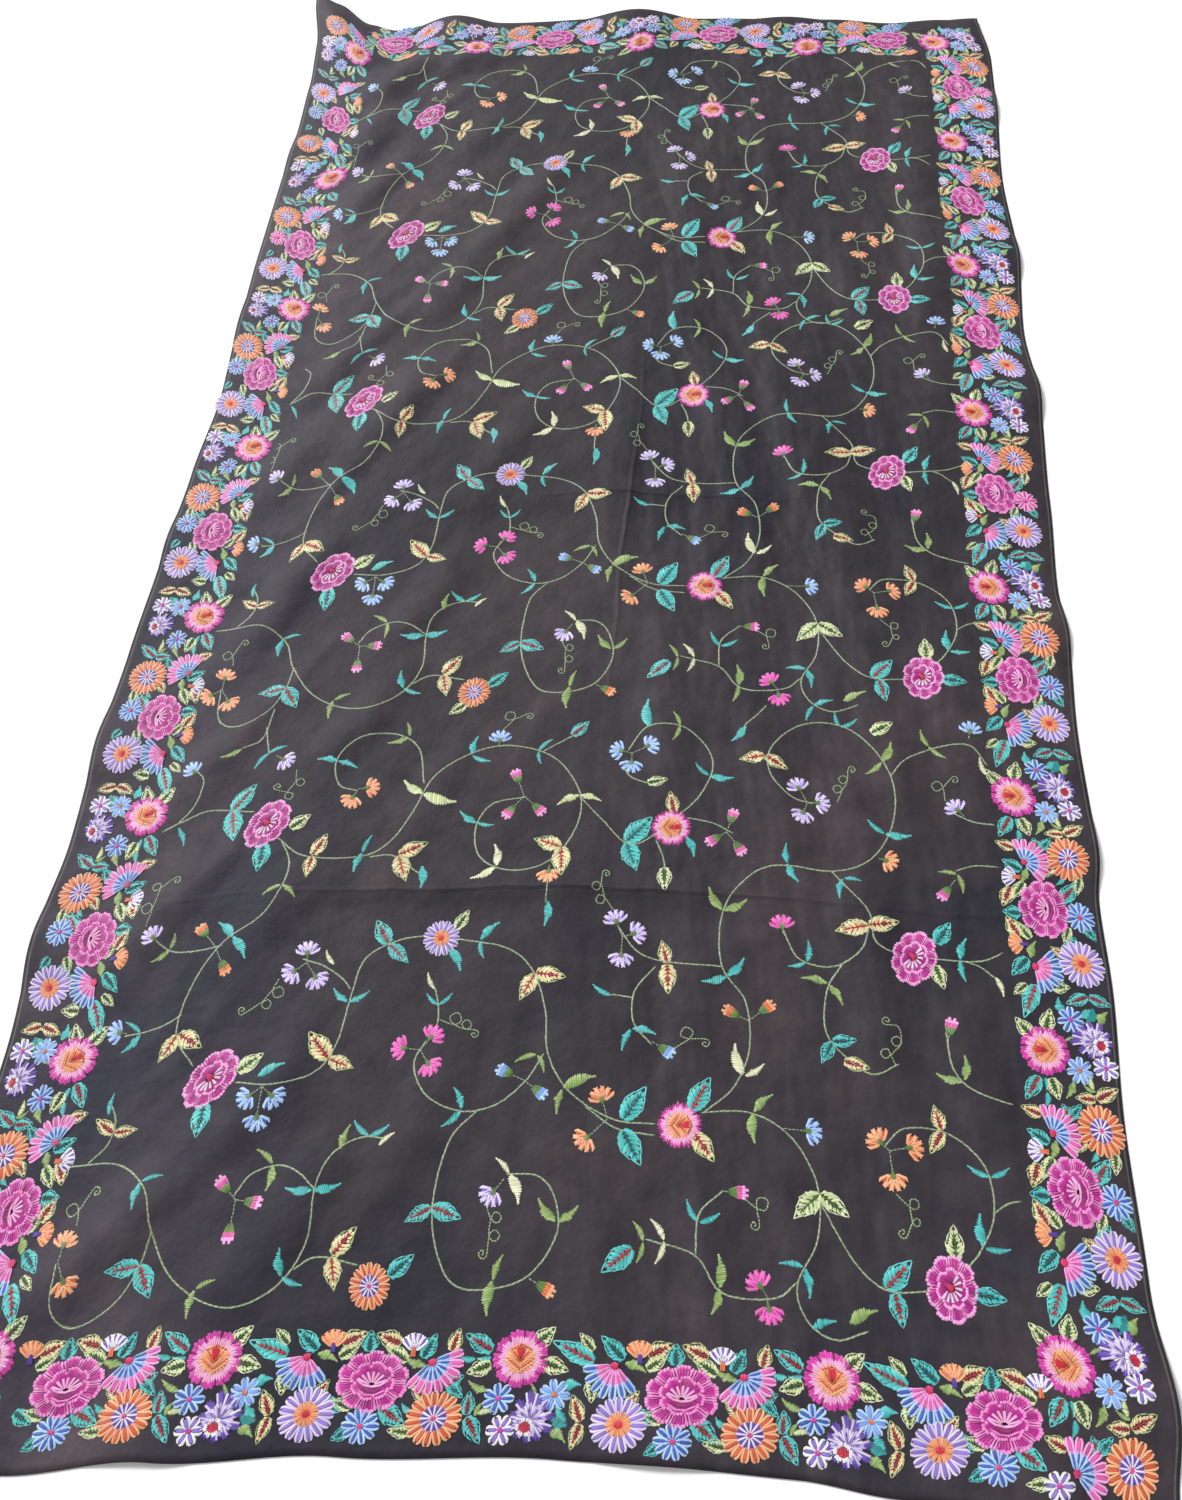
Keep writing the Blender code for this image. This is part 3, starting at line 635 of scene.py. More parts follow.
BORDER_LEAVES = [Leaf(*row) for row in (
    ("teal_veined", -7, 21, -7, 3, 1.6), ("red_pale", -31, 17, -9, 6, 1.2),
    ("red_pale", 20, 14, -3, 6, 1.2), ("pale_veined", 27, 27, 6, 15, 1.0),
    ("pale_veined", -32, 27, -14, 15, 1.0), ("green", 43, 29, 21, 23, 1.1),
    ("green", -51, 26, -31, 31, 1.3), ("teal_veined", 39, 25, 50, 5, 1.1), ("red_pale", 63, 20, 69, 1, 1.2),
    ("teal", 84, 25, 69, 24, 1.5), ("teal", 97, 24, 84, 26, 1.5), ("red_teal", 98, 20, 73, 6, 0.95),
    ("pale_veined", 98, 30, 77, 37, 1.2), ("green", 98, 49, 79, 42, 1.2), ("red_teal", 62, 46, 77, 38, 1.2),
    ("teal_veined", 63, 44, 79, 56, 1.0), ("red_teal", 84, 68, 83, 49, 1.2),
    ("red_teal", 84, 69, 99, 90, 1.0), ("green", 92, 69, 96, 57, 1.5), ("pale", 93, 68, 108, 65, 1.4),
    ("red_pale", 48, 56, 32, 44, 1.0), ("teal", 38, 64, 27, 58, 1.7), ("red_teal", 10, 61, 35, 76, 1.0),
    ("pale_veined", 40, 80, 19, 78, 0.95), ("teal_veined", -12, 80, -26, 88, 1.2),
    ("pale_veined", -14, 64, -34, 58, 0.9), ("pale_veined", 132, 17, 151, 0, 1.1),
    ("pale_veined", 140, 28, 164, 34, 1.1), ("red_teal", 184, 25, 147, 11, 0.74),
    ("pale_veined", 183, 17, 170, 3, 1.0), ("teal_veined", 209, 22, 188, 4, 0.95),
    ("teal", 160, 48, 176, 42, 1.7), ("teal_deep", 169, 72, 150, 65, 1.5), ("teal", 168, 70, 155, 57, 1.4),
    ("red_pale", 179, 70, 168, 49, 1.0), ("red_pale", 179, 71, 173, 92, 1.05),
    ("pale_veined", 184, 38, 185, 57, 1.4), ("green", 153, 79, 170, 86, 1.5),
    ("green", 133, 45, 140, 60, 0.9), ("teal_veined", 220, 59, 238, 69, 1.2),
    ("red_pale", 214, 58, 224, 43, 1.1),
)]

# Flowers and leaves that are worked as another kind in some repeats of a border: their kind and place,
# the first and the last repeat, and the other kind
CHANGES = {
    "border_right": [
        ("small_blue", 108, 0, 8, "small_blue_warm"), ("small_blue_warm", 154, 0, 8, "small_blue"),
        ("red_teal", 84, 0, 8, "red_pale"), ("red_pale", 179, 0, 8, "red_teal"),
        ("blue_daisy", -3, 5, 5, "magenta_daisy"), ("blue_daisy", -3, 8, 8, "magenta_daisy"),
        ("orange_bud", 222, 4, 4, "lilac_bud"), ("lilac_bud", 31, 5, 5, "orange_bud"),
        ("orange_bud", 222, 7, 7, "lilac_bud"), ("lilac_bud", 31, 8, 8, "orange_bud"),
    ],
    "border_left": [
        ("daisy", 209, 7, 8, "zinnia"), ("zinnia", 49, 8, 8, "daisy"),
        ("orange_bud", 242, 7, 7, "lilac_bud"), ("lilac_bud", 46, 8, 8, "orange_bud"),
        ("blue_daisy", 5, 7, 7, "magenta_daisy"),
    ],
}

# Each border's first peony, the step to the next and their number, how a point along and down the near
# border turns into one across and along the cloth, and the middle of the border's inner edge
Border = namedtuple("Border", "first step count turn origin")
BORDERS = {
    "border_near": Border(-628.7, 254.7, 5, ((1, 0), (0, 1)), (0.0, NEAR_INNER)),
    "border_far": Border(-631.0, 254.8, 5, ((-1, 0), (0, -1)), (0.0, FAR_INNER)),
    "border_left": Border(-1307.0, 253.7, 9, ((0, 1), (1, 0)), (-SIDE_INNER, 0.0)),
    "border_right": Border(-1286.2, 264.3, 9, ((0, 1), (-1, 0)), (SIDE_INNER, 0.0)),
}
# The step that the design was written down for, and the depth that it leans about
DESIGN_STEP = 260.0
PEONY_DEPTH = 42.0
# How far the left border's leaves lean along it, above and below its peonies
LEAF_LEANS = {"border_left": (0.9, 0.25)}
# How far the work strays from its even places: the place, the stray along the border and towards the
# edge of the cloth, and how much its inner side leans forward. The left border's flowers already stand
# where they lean to.
BORDER_STRAYS = {
    "border_near": [
        (-629, 0, 0, 0), (-374, 0, -2, 0), (-119, 0, 4, 0), (85, 0, 5, 0), (133, -1.5, 9, 0),
        (190, 0, 5, 0), (251, -2, 3, 0), (338, -3, -4, 0), (390, -4, -2, 0),
    ],
    "border_far": [
        (-377, 0, 7, 0.33), (-321, 0, 6, 0.33), (-251, 0, -4, 0.33), (-171, 0, -8, 0.33),
        (-122, 0, 12, 0.33), (-66, 0, 8, 0.33), (9, 0, -12, 0.33), (84, 3, 2, 0.33), (133, 1, 5, 0.33),
        (190, 3, -1, 0.33), (254, -1, -8, 0.33), (274, 0, -4, 0.33), (326, 2, -5, 0.33), (352, 2, 9, 0.33),
        (390, -3, 14, 0.33), (444, -3, 12, 0.33),
    ],
    "border_left": [
        (-800, 0, -4, 0.1), (-748, 0, -7, 0.1), (-663, -1, -1, 0.1), (-598, -1, -8, 0.1),
        (-545, 0, -9, 0.1), (-495, 0, -6, 0.1), (-408, 1, -7, 0.15), (-340, 0, -13, 0.1),
        (-292, 0, -8, 0.1), (-241, 0, -6, 0.1), (-90, 0, -6, 0.2), (-38, 0, 0, 0.1), (97, 0, 2, 0.2),
        (159, -8, 4, 0.1), (218, 2, 6, 0.1), (262, -4, 3, 0.1), (340, -6, -3, 0.2), (409, -10, -7, 0.2),
        (467, -4, -4, 0.1), (516, -3, -1, 0.1), (560, 2, -4, 0.5), (610, 10, -6, 0.8), (676, 0, -5, 0.1),
        (725, 19, -4, 0.1), (773, 25, -1, 0), (791, 33, 0, 0), (830, 46, -4, 0.2), (867, 42, -6, 0.1),
        (882, 24, -17, 0), (907, 28, -12, 0), (931, 12, -18, 0), (960, 12, -14, 0),
    ],
    "border_right": [
        (-965, 0, -11, 0.15), (-900, 2, -11, 0.15), (-860, 0, -4, 0.15), (-815, 0, 1, 0.15),
        (-757, 0, 2, 0.15), (-705, -1, 4, 0.15), (-634, -1, 4, 0.15), (-545, 0, 0, 0.15),
        (-490, 1, -1, 0.15), (-440, 0, -5, 0.15), (-366, -1, -5, 0.15), (-281, 4, -3, 0.18),
        (-224, 3, -5, 0.18), (-172, 3, -7, 0.20), (-100, 0, -6, 0.20), (-18, 1, -8, 0.22),
        (38, 1, -9, 0.25), (96, 4, -11, 0.25), (175, 4, -13.5, 0.28), (205, 5, -13.5, 0.30),
        (257, 8, -6, 0.30), (311, 8, 1, 0.30), (362, 7, 1, 0.30), (437, 6, -5.5, 0.30), (515, 3, -2, 0.30),
        (570, 3, 0, 0.30), (620, 5, 2, 0.30), (700, 6, 3.5, 0.30), (785, 4, -0.5, 0.30), (830, -4, 1, 0.25),
        (890, -3, -1, 0.25), (957, -15, -8, 0.15), (985, -22, -6, 0.15),
    ],
}
# Flowers and leaves that stand alone in the corners
LONE_PARTS = {
    "border_near": [Bloom("small_lilac", 429, 83, 1.05, 0.95), Leaf("pale_veined", 424, 82, 402, 84, 0.9)],
}
# How far the work stays from a border's ends, how high its flowers lie over its leaves, and the share of
# the way to its tip that a leaf is worked
CORNER_MARGIN = 8.0
BLOOM_LIFT = 0.4
LEAF_LENGTH = 0.92


def worked_kind(name, part, repeat):
    """The kind that a flower or leaf is worked as in one repeat of a border."""
    for kind, along, first, last, instead in CHANGES.get(name, []):
        if (kind, along) == (part.kind, part.along) and first <= repeat <= last:
            return instead
    return part.kind


def part_rows(part, kind):
    """A border's flower or leaf about its own place."""
    if isinstance(part, Leaf):
        return leaf_at(kind, 0, 0, LEAF_LENGTH * (part.tip_along - part.along),
                       LEAF_LENGTH * (part.depth - part.tip_depth), part.width)
    rows = sized(turned(BLOOMS[kind], part.turn), part.wide, part.tall)
    rows[:, BASE] += BLOOM_LIFT
    return rows


def border_rows(name):
    """All strands of one border, in millimetres of the flat cloth."""
    border = BORDERS[name]
    side_run = name in ("border_left", "border_right")
    low = (-CLOTH_LENGTH / 2 + NEAR_MARGIN) / MM if side_run else -SIDE_INNER / MM
    high = (CLOTH_LENGTH / 2 - FAR_MARGIN) / MM if side_run else SIDE_INNER / MM
    strays = np.array(BORDER_STRAYS[name], float)
    leaf_leans = LEAF_LEANS.get(name, (0.0, 0.0))
    placed = [(part_rows(part, part.kind), part.along, part.depth) for part in LONE_PARTS.get(name, [])]
    for repeat in range(border.count):
        for part in [*(LEFT_BLOOMS if name == "border_left" else BORDER_BLOOMS), *BORDER_LEAVES]:
            place = border.first + border.step * (repeat + part.along / DESIGN_STEP)
            along, depth, lean = (np.interp(place, strays[:, 0], strays[:, column]) for column in (1, 2, 3))
            start_lean = 0 if name == "border_left" else lean
            if isinstance(part, Leaf):
                start_lean += leaf_leans[0 if part.depth < PEONY_DEPTH else 1]
            place += along + start_lean * (PEONY_DEPTH - part.depth)
            if low + CORNER_MARGIN < place < high - CORNER_MARGIN:
                rows = part_rows(part, worked_kind(name, part, repeat))
                rows[:, [0, 2]] += lean * rows[:, [1, 3]]
                placed.append((rows, place, part.depth + depth))
    work = np.vstack([moved(rows, place, -depth) for rows, place, depth in placed])
    turn = np.array(border.turn, float)
    work[:, FROM] = work[:, FROM] @ turn
    work[:, TO] = work[:, TO] @ turn
    if name == "border_left":
        work[:, BOW] *= -1
    return moved(work, border.origin[0] / MM, border.origin[1] / MM)


# The field's design, read off the laid cloth in its nearest repeat, in millimetres.
# Each vine is a smooth line through its points.
VINES = [
    # Left half, low
    [(-298, -454), (-284, -480), (-286, -508), (-302, -540), (-335, -569), (-355, -613), (-359, -661),
     (-336, -690)],
    [(-290, -703), (-254, -703), (-218, -689), (-202, -661), (-196, -610), (-188, -575), (-157, -555),
     (-130, -549)],
    [(-99, -551), (-53, -557), (-25, -577), (-8, -617), (-2, -657), (20, -691), (62, -714), (100, -716)],
    [(38, -705), (66, -722), (100, -726)],
    [(-6, -660), (-20, -685), (-45, -708), (-77, -716), (-110, -704), (-126, -676), (-118, -654)],
    [(-110, -645), (-109, -632), (-111, -617), (-116, -602)],
    [(-61, -714), (-83, -742), (-91, -794), (-83, -834), (-63, -862), (-28, -862), (2, -848), (21, -815),
     (16, -784), (0, -768), (-27, -768)],
    [(-436, -790), (-387, -783), (-352, -802), (-337, -838), (-308, -876), (-258, -894), (-218, -875),
     (-198, -838), (-198, -794), (-192, -768), (-178, -752), (-160, -744), (-142, -745)],
    [(-337, -838), (-341, -866), (-355, -897), (-385, -919), (-408, -908), (-413, -871)],
    [(-411, -784), (-397, -766), (-396, -745), (-403, -732)], [(-204, -859), (-186, -848), (-150, -852)],
    [(-199, -792), (-214, -780), (-234, -774), (-258, -783), (-270, -802)],
    [(-335, -571), (-356, -577), (-382, -580), (-402, -570)], [(-359, -643), (-375, -655), (-408, -666)],
    [(-199, -607), (-207, -598), (-228, -586), (-250, -580)],
    # Left half, high
    [(-335, -423), (-380, -424), (-405, -438), (-432, -456)],
    [(-411, -441), (-398, -420), (-394, -392), (-404, -380)],
    [(-302, -452), (-270, -471), (-212, -468), (-184, -450), (-165, -415), (-147, -371), (-105, -339),
     (-65, -332), (-22, -346), (6, -385), (5, -425), (-20, -464), (-58, -476), (-90, -462), (-98, -430),
     (-84, -402), (-50, -392)],
    [(-159, -381), (-170, -340), (-198, -323), (-234, -329), (-256, -357), (-250, -386), (-230, -393)],
    [(-37, -337), (-4, -315)], [(-202, -468), (-178, -466), (-150, -484)],
    [(-337, -299), (-343, -335), (-362, -349)], [(6, -389), (28, -411), (62, -441), (98, -418)],
    # Right half, low
    [(143, -704), (186, -701), (222, -720), (245, -760), (244, -806), (227, -842), (236, -869), (258, -881),
     (284, -873)],
    [(145, -703), (170, -680), (184, -644), (180, -598), (157, -565), (155, -516), (170, -482), (202, -458),
     (262, -460), (302, -444), (325, -400), (323, -350), (294, -305), (262, -290), (226, -297), (201, -325),
     (201, -354), (222, -379), (244, -386)],
    [(157, -565), (113, -564), (77, -555), (53, -526)], [(93, -569), (75, -594), (76, -624), (93, -643)],
    [(262, -460), (296, -500), (302, -532), (326, -545)],
    [(296, -520), (288, -542), (262, -559), (230, -553), (214, -522)],
    [(270, -557), (256, -582), (254, -621), (272, -645), (296, -660), (318, -650)],
    [(352, -546), (399, -546), (428, -532)], [(385, -547), (398, -551), (411, -561)],
    [(363, -618), (367, -650), (385, -670), (432, -682)],
    [(304, -722), (322, -706), (359, -708), (389, -735), (394, -774), (380, -805), (364, -822)],
    [(340, -838), (302, -840), (274, -818), (246, -772)],
    [(226, -840), (208, -853), (165, -852), (141, -824), (99, -814)],
    [(141, -822), (143, -790), (163, -770)],
    # Right half, high
    [(110, -405), (129, -383), (142, -350), (134, -323), (108, -302), (72, -303), (53, -331)],
    [(118, -408), (145, -413), (163, -423)],
    [(324, -351), (340, -331), (372, -315), (405, -312), (421, -333)],
    [(384, -390), (403, -399), (432, -402)], [(384, -453), (403, -447), (432, -448)],
    [(395, -772), (407, -764), (426, -759)], [(88, -436), (95, -452), (98, -468)],
    # Short stems of leaves that stand a little off the vines
    [(-18, -484), (-18, -508)], [(74, -600), (54, -598)], [(49, -353), (58, -364), (75, -370)],
    [(196, -272), (186, -284), (174, -296)], [(-341, -322), (-337, -338), (-332, -353)],
]

# Leaves that grow from one joint, by the joint and their tips
SPRIG_LENGTH = 0.98
Sprig = namedtuple("Sprig", "kind joint tips")
SPRIGS = [Sprig(kind, row[0], row[1:]) for kind, rows in (
    # Left half
    ("red_pale", [
        ((-357, -661), (-370, -690), (-331, -673)), ((-207, -676), (-230, -652), (-182, -683)),
        ((-21, -581), (-34, -609), (9, -584)), ((-395, -756), (-415, -745), (-373, -751)),
        ((-173, -846), (-155, -821), (-166, -874)), ((-262, -470), (-251, -444), (-263, -496)),
        ((-173, -465), (-145, -449), (-161, -494)), ((-8, -447), (-37, -439), (-5, -480)),
    ]),
    ("red_teal", [
        ((-168, -560), (-184, -536), (-146, -578)), ((-91, -800), (-114, -814), (-64, -808)),
        ((-341, -866), (-370, -874), (-326, -891)), ((-357, -423), (-338, -390), (-348, -458)),
        ((-8, -317), (9, -298)),
    ]),
    ("teal", [
        ((-198, -619), (-216, -607), (-178, -608)), ((-77, -551), (-61, -530), (-73, -570)),
        ((-111, -617), (-124, -607), (-98, -605)), ((-77, -714), (-85, -694), (-93, -732)),
        ((-355, -798), (-336, -790), (-358, -823)), ((-213, -865), (-220, -842), (-194, -872)),
        ((-200, -792), (-226, -794), (-174, -786)), ((-326, -563), (-344, -546), (-307, -584)),
        ((-395, -663), (-412, -652), (-408, -683)), ((-157, -742), (-174, -730), (-139, -732)),
        ((-411, -446), (-430, -434), (-399, -466)), ((-210, -464), (-204, -443), (-217, -487)),
        ((-255, -361), (-279, -358), (-232, -366)), ((-111, -345), (-109, -321), (-91, -352)),
        ((-41, -337), (-28, -321), (-38, -353)), ((-97, -423), (-118, -411), (-79, -426)),
        ((-332, -353), (-314, -342), (-345, -373)),
    ]),
    ("teal_veined", [((-316, -724), (-316, -756)), ((-316, -458), (-316, -490))]),
    ("teal", [((-270, -698), (-246, -682)), ((-109, -561), (-93, -584))]),
    ("teal_veined", [((-121, -859), (-101, -840))]),
    ("teal", [((-149, -476), (-144, -502)), ((-17, -507), (-17, -534)), ((-403, -740), (-404, -720))]),
    ("green", [
        ((-286, -506), (-305, -517), (-269, -518)), ((-387, -577), (-384, -560), (-402, -593)),
        ((-12, -661), (-33, -668), (-3, -677)), ((20, -804), (1, -786), (39, -790)),
        ((-29, -856), (-24, -834), (-33, -885)), ((-286, -882), (-270, -872), (-290, -906)),
        ((-242, -774), (-258, -761), (-242, -798)), ((-184, -325), (-188, -307), (-206, -335)),
        ((-180, -757), (-176, -733)), ((-363, -349), (-384, -363)),
    ]),
    ("pale_veined", [
        ((-292, -693), (-270, -674)), ((-104, -541), (-93, -520)), ((-142, -882), (-160, -897)),
        ((-292, -440), (-273, -423)),
    ]),
    ("cream", [((-27, -768), (-40, -754), (-14, -794))]),
    ("pale", [((-157, -393), (-182, -378), (-120, -402)), ((6, -389), (30, -393), (-18, -400))]),
    ("cream", [
        ((-73, -472), (-76, -446), (-97, -488)), ((-218, -583), (-230, -569)), ((-116, -602), (-126, -586)),
        ((-146, -752), (-133, -738)),
    ]),
    # Right half
    ("red_pale", [
        ((105, -565), (98, -541), (107, -595)), ((296, -516), (264, -523), (326, -510)),
        ((355, -706), (348, -683), (343, -726)), ((196, -333), (169, -338), (219, -348)),
        ((136, -722), (155, -746)), ((270, -648), (293, -655)), ((104, -403), (99, -379)),
    ]),
    ("red_teal", [
        ((301, -839), (323, -815)), ((308, -841), (314, -868)), ((87, -822), (62, -843)),
        ((133, -703), (149, -672)),
    ]),
    ("teal_veined", [((72, -714), (91, -683)), ((72, -723), (90, -753))]),
    ("teal", [
        ((161, -573), (179, -554), (137, -582)), ((75, -631), (99, -634), (66, -652)),
        ((236, -555), (239, -533), (219, -561)),
    ]),
    ("teal_veined", [((260, -631), (282, -629), (250, -652))]),
    ("teal", [
        ((382, -546), (388, -522), (384, -568)), ((393, -742), (373, -734), (411, -734)),
        ((385, -800), (382, -772), (407, -801)), ((232, -828), (211, -825), (238, -852)),
        ((240, -875), (231, -893), (260, -866)), ((143, -796), (131, -778), (162, -788)),
        ((139, -357), (123, -344), (165, -360)), ((274, -293), (268, -275), (292, -284)),
        ((316, -415), (298, -401), (343, -418)), ((220, -454), (217, -432), (230, -475)),
        ((274, -468), (269, -490), (292, -469)),
    ]),
    ("teal_veined", [((57, -438), (82, -409), (70, -470))]),
    ("teal", [((54, -598), (34, -589))]),
    ("teal_veined", [((359, -531), (374, -508)), ((373, -837), (400, -841))]),
    ("teal", [
        ((116, -430), (127, -452)), ((174, -296), (160, -317)), ((414, -764), (433, -757)),
        ((75, -303), (70, -268)),
    ]),
    ("green", [
        ((16, -691), (46, -675), (11, -714)), ((190, -701), (206, -682), (190, -729)),
        ((157, -506), (141, -483), (181, -494)), ((256, -577), (231, -571), (271, -597)),
        ((375, -661), (351, -655), (378, -637)), ((161, -848), (161, -820), (156, -870)),
        ((95, -816), (86, -799), (91, -834)), ((314, -335), (326, -311), (298, -350)),
        ((365, -313), (356, -293), (381, -328)), ((105, -301), (98, -284), (99, -320)),
        ((383, -458), (365, -455), (389, -478)),
    ]),
    ("pale_veined", [((357, -552), (364, -576)), ((360, -812), (359, -784))]),
    ("green", [((271, -869), (294, -855))]),
    ("pale_veined", [
        ((247, -766), (224, -789), (272, -784)), ((97, -464), (99, -490)), ((75, -370), (96, -365)),
        ((305, -302), (328, -288)),
    ]),
    ("cream", [
        ((180, -667), (170, -637), (199, -655)), ((113, -814), (101, -796), (107, -834)),
        ((411, -561), (419, -580)), ((421, -345), (414, -324)),
    ]),
) for row in rows]

# Small flowers and bell buds on a shared stem, by its joint and their middles
Spray = namedtuple("Spray", "kind joint middles")
SPRAYS = [Spray(kind, row[0], row[1:]) for kind, rows in (
    ("blue_head", [((-264, -706), (-279, -719), (-249, -717), (-263, -740))]),
    ("lilac_head", [((-246, -583), (-248, -568), (-261, -597), (-231, -602))]),
    ("magenta_head", [((-122, -662), (-110, -645), (-143, -661), (-109, -679))]),
    ("orange_head", [
        ((-412, -869), (-411, -849), (-399, -889), (-427, -881)),
        ((-228, -391), (-212, -388), (-234, -407)), ((-18, -468), (-18, -481)),
    ]),
    ("blue_head", [((-407, -664), (-420, -663)), ((-404, -384), (-412, -376)), ((-85, -333), (-85, -320))]),
    ("lilac_head", [
        ((-397, -573), (-408, -564)), ((-30, -772), (-42, -789)), ((-324, -355), (-310, -362)),
    ]),
    ("orange_bell", [((-342, -571), (-356, -558), (-328, -592)), ((0, -852), (13, -858))]),
    ("blue_bell", [((-22, -684), (-38, -678), (-8, -693))]),
    ("pink_bell", [
        ((-268, -806), (-280, -796), (-254, -807), (-268, -832)),
        ((-52, -391), (-61, -370), (-64, -408), (-37, -404)),
    ]),
    ("orange_head", [((58, -714), (50, -692), (37, -736))]),
    ("blue_head", [((212, -713), (243, -714))]),
    ("lilac_head", [((60, -540), (51, -519), (76, -534), (60, -564))]),
    ("magenta_head", [((215, -528), (213, -515))]),
    ("orange_head", [((308, -726), (296, -715), (331, -721), (311, -753))]),
    ("magenta_head", [((202, -852), (193, -839), (205, -867))]),
    ("blue_head", [((57, -335), (40, -332), (78, -324), (57, -352))]),
    ("lilac_head", [((239, -385), (228, -364), (233, -402), (255, -385))]),
    ("blue_head", [((405, -304), (408, -290))]),
    ("lilac_head", [((395, -394), (385, -382))]),
    ("orange_head", [((308, -444), (321, -447))]),
    ("orange_bell", [((183, -616), (169, -610), (198, -604))]),
    ("blue_bell", [((94, -641), (106, -648))]),
    ("pink_bell", [
        ((364, -626), (367, -614)), ((161, -770), (174, -770)),
        ((158, -422), (163, -406), (147, -430), (170, -438)), ((382, -463), (372, -476)),
    ]),
) for row in rows]
HEADS = {
    "blue_head": spray_head("blue_dark", "blue_light"), "lilac_head": spray_head("purple", "lilac"),
    "magenta_head": spray_head("magenta", "pink_edge"),
    "orange_head": spray_head("orange_dark", "orange_light"),
    "orange_bell": bell_bud("orange", "orange_light"), "blue_bell": bell_bud("blue", "blue_light"),
    "pink_bell": bell_bud("pink_deep", "pink"),
}

# Thin tendrils: a point with a third number has a loop of that radius beside it
TENDRILS = [
    [(-270, -601), (-274, -612, 5), (-281, -624, 4), (-298, -638)],
    [(-108, -632), (-94, -636, 5), (-82, -640, 4), (-72, -640)],
    [(-43, -796), (-38, -806, 4), (-38, -820, 4), (-38, -836)],
    [(-405, -838), (-408, -826, 5), (-400, -806)],
    [(-415, -557), (-413, -538, 5), (-411, -515, 4), (-398, -502)],
    [(-83, -313), (-73, -300, 5), (-57, -291)],
    [(-298, -371), (-296, -385, 4), (-303, -398, 4), (-316, -396)],
    [(49, -512), (40, -500, 4), (36, -488, 4), (36, -474)], [(113, -648), (128, -638, 5), (144, -637)],
    [(316, -651), (312, -642, 4), (322, -630, 4), (320, -615), (308, -614)],
    [(312, -762), (323, -772, 4), (325, -784, 3), (320, -796)], [(178, -772), (192, -782, 5), (195, -796)],
    [(269, -383), (274, -370, 4), (280, -358, 4), (281, -344)], [(377, -377), (376, -362, 5), (385, -350)],
]

# The field's large flowers: their kind, width and height, how much they lean and turn, and their places
# on the laid cloth in the near, the middle and the far repeat, in millimetres
Flower = namedtuple("Flower", "name kind wide tall lean turn places")
FLOWERS = [
    Flower("peony_left_low", "field_peony", 46, 56, 0.26, 60, [(-315, -701), (-306, -109), (-309, 482)]),
    Flower("peony_left_high", "field_peony", 44.5, 55, 0.24, 60, [(-316, -436), (-315, 162), (-314, 747)]),
    Flower("peony_right_low", "field_peony", 44, 56, 0.04, 60, [(355, -835), (363, -229), (357, 357)]),
    Flower("peony_right_high", "field_peony", 43, 57, 0.20, 60, [(338, -546), (336, 60), (342, 641)]),
    Flower("rose_low", "rose", 43, 43, 0, -85, [(123, -716), (126, -115), (130, 474)]),
    Flower("rose_high", "rose", 43, 43, 0, -85, [(102, -420), (102, 181), (108, 759)]),
    Flower("zinnia", "zinnia", 35, 38, 0, 0, [(-136, -868), (-120, -267), (-125, 316)]),
    Flower("daisy", "daisy", 36, 37, 0, 0, [(-117, -551), (-114, 45), (-113, 635)]),
]
# How wide each kind is before it is sized
FLOWER_SIZES = {"field_peony": 57.2, "rose": 43.6, "zinnia": 43.6, "daisy": 44.8}
FLOWER_PLACES = np.array([flower.places for flower in FLOWERS], float)
# Work this close to a large flower keeps its place beside it
FLOWER_REACH = 50.0
# How many places a smooth line has between two of its points
LINE_PLACES = 12
# The points of a tendril's loop in radii, and of the curl at its end in millimetres: along it and beside
LOOP = ((1.2, 1.2), (0, 2.4), (-1.2, 1.2), (0, 0.1))
CURL = ((3.6, 3.0), (0.5, 7.4), (-3.8, 4.6), (-0.8, 2.6), (0.6, 4.2))
# Layers of stitches: their step and widths, their colours, how high they lie and how far they stand up,
# and for the upper layers the overlap and the slant
VINE_LAYERS = (
    (8.0, (2.0, 2.5, 2.0), ("vine_dark", "vine_dark"), 0.0, 0.35),
    (5.2, (1.1, 1.45, 1.1), ("vine", "vine"), 0.22, 0.42, 0.6, 0.07),
)
TENDRIL_LAYERS = ((2.8, (1.4, 1.9, 1.4), ("green", "vine"), 0.0, 0.45, 0.5, 0.06),)
STEM_LAYER = (3.6, (1.2, 1.7, 1.3), ("vine", "vine_dark"))
# The foot of a small flower or bud lies this far before its middle, and a shorter stem isn't worked
HEAD_FOOT = 6.0
SHORTEST_STEM = 2.0
# How far stitches, and the small flowers, stay from the borders
STITCH_MARGIN = 1.5
HEAD_MARGIN = 5


def flat_point(point, repeat=0):
    """Where a point of the design's near repeat lies on the flat cloth in one of its repeats."""
    distance = ((FLOWER_PLACES[:, 0] - point) ** 2).sum(1)
    pull = 1 / (distance + FLOWER_REACH ** 2) ** 2
    shift = pull @ (FLOWER_PLACES[:, repeat] - FLOWER_PLACES[:, 0]) / pull.sum()
    return laid_point(point + shift)


def laid_point(point):
    """The point of the flat cloth at a place of the laid one, in millimetres."""
    across, along = flat_place(np.array([point[0] * MM]), np.array([point[1] * MM]))
    return across[0] / MM, along[0] / MM


def in_field(x, y, margin):
    """Whether points of the flat cloth lie between the borders, in millimetres."""
    return ((np.abs(x) < SIDE_INNER / MM - margin) & (y > NEAR_INNER / MM + margin)
            & (y < FAR_INNER / MM - margin))


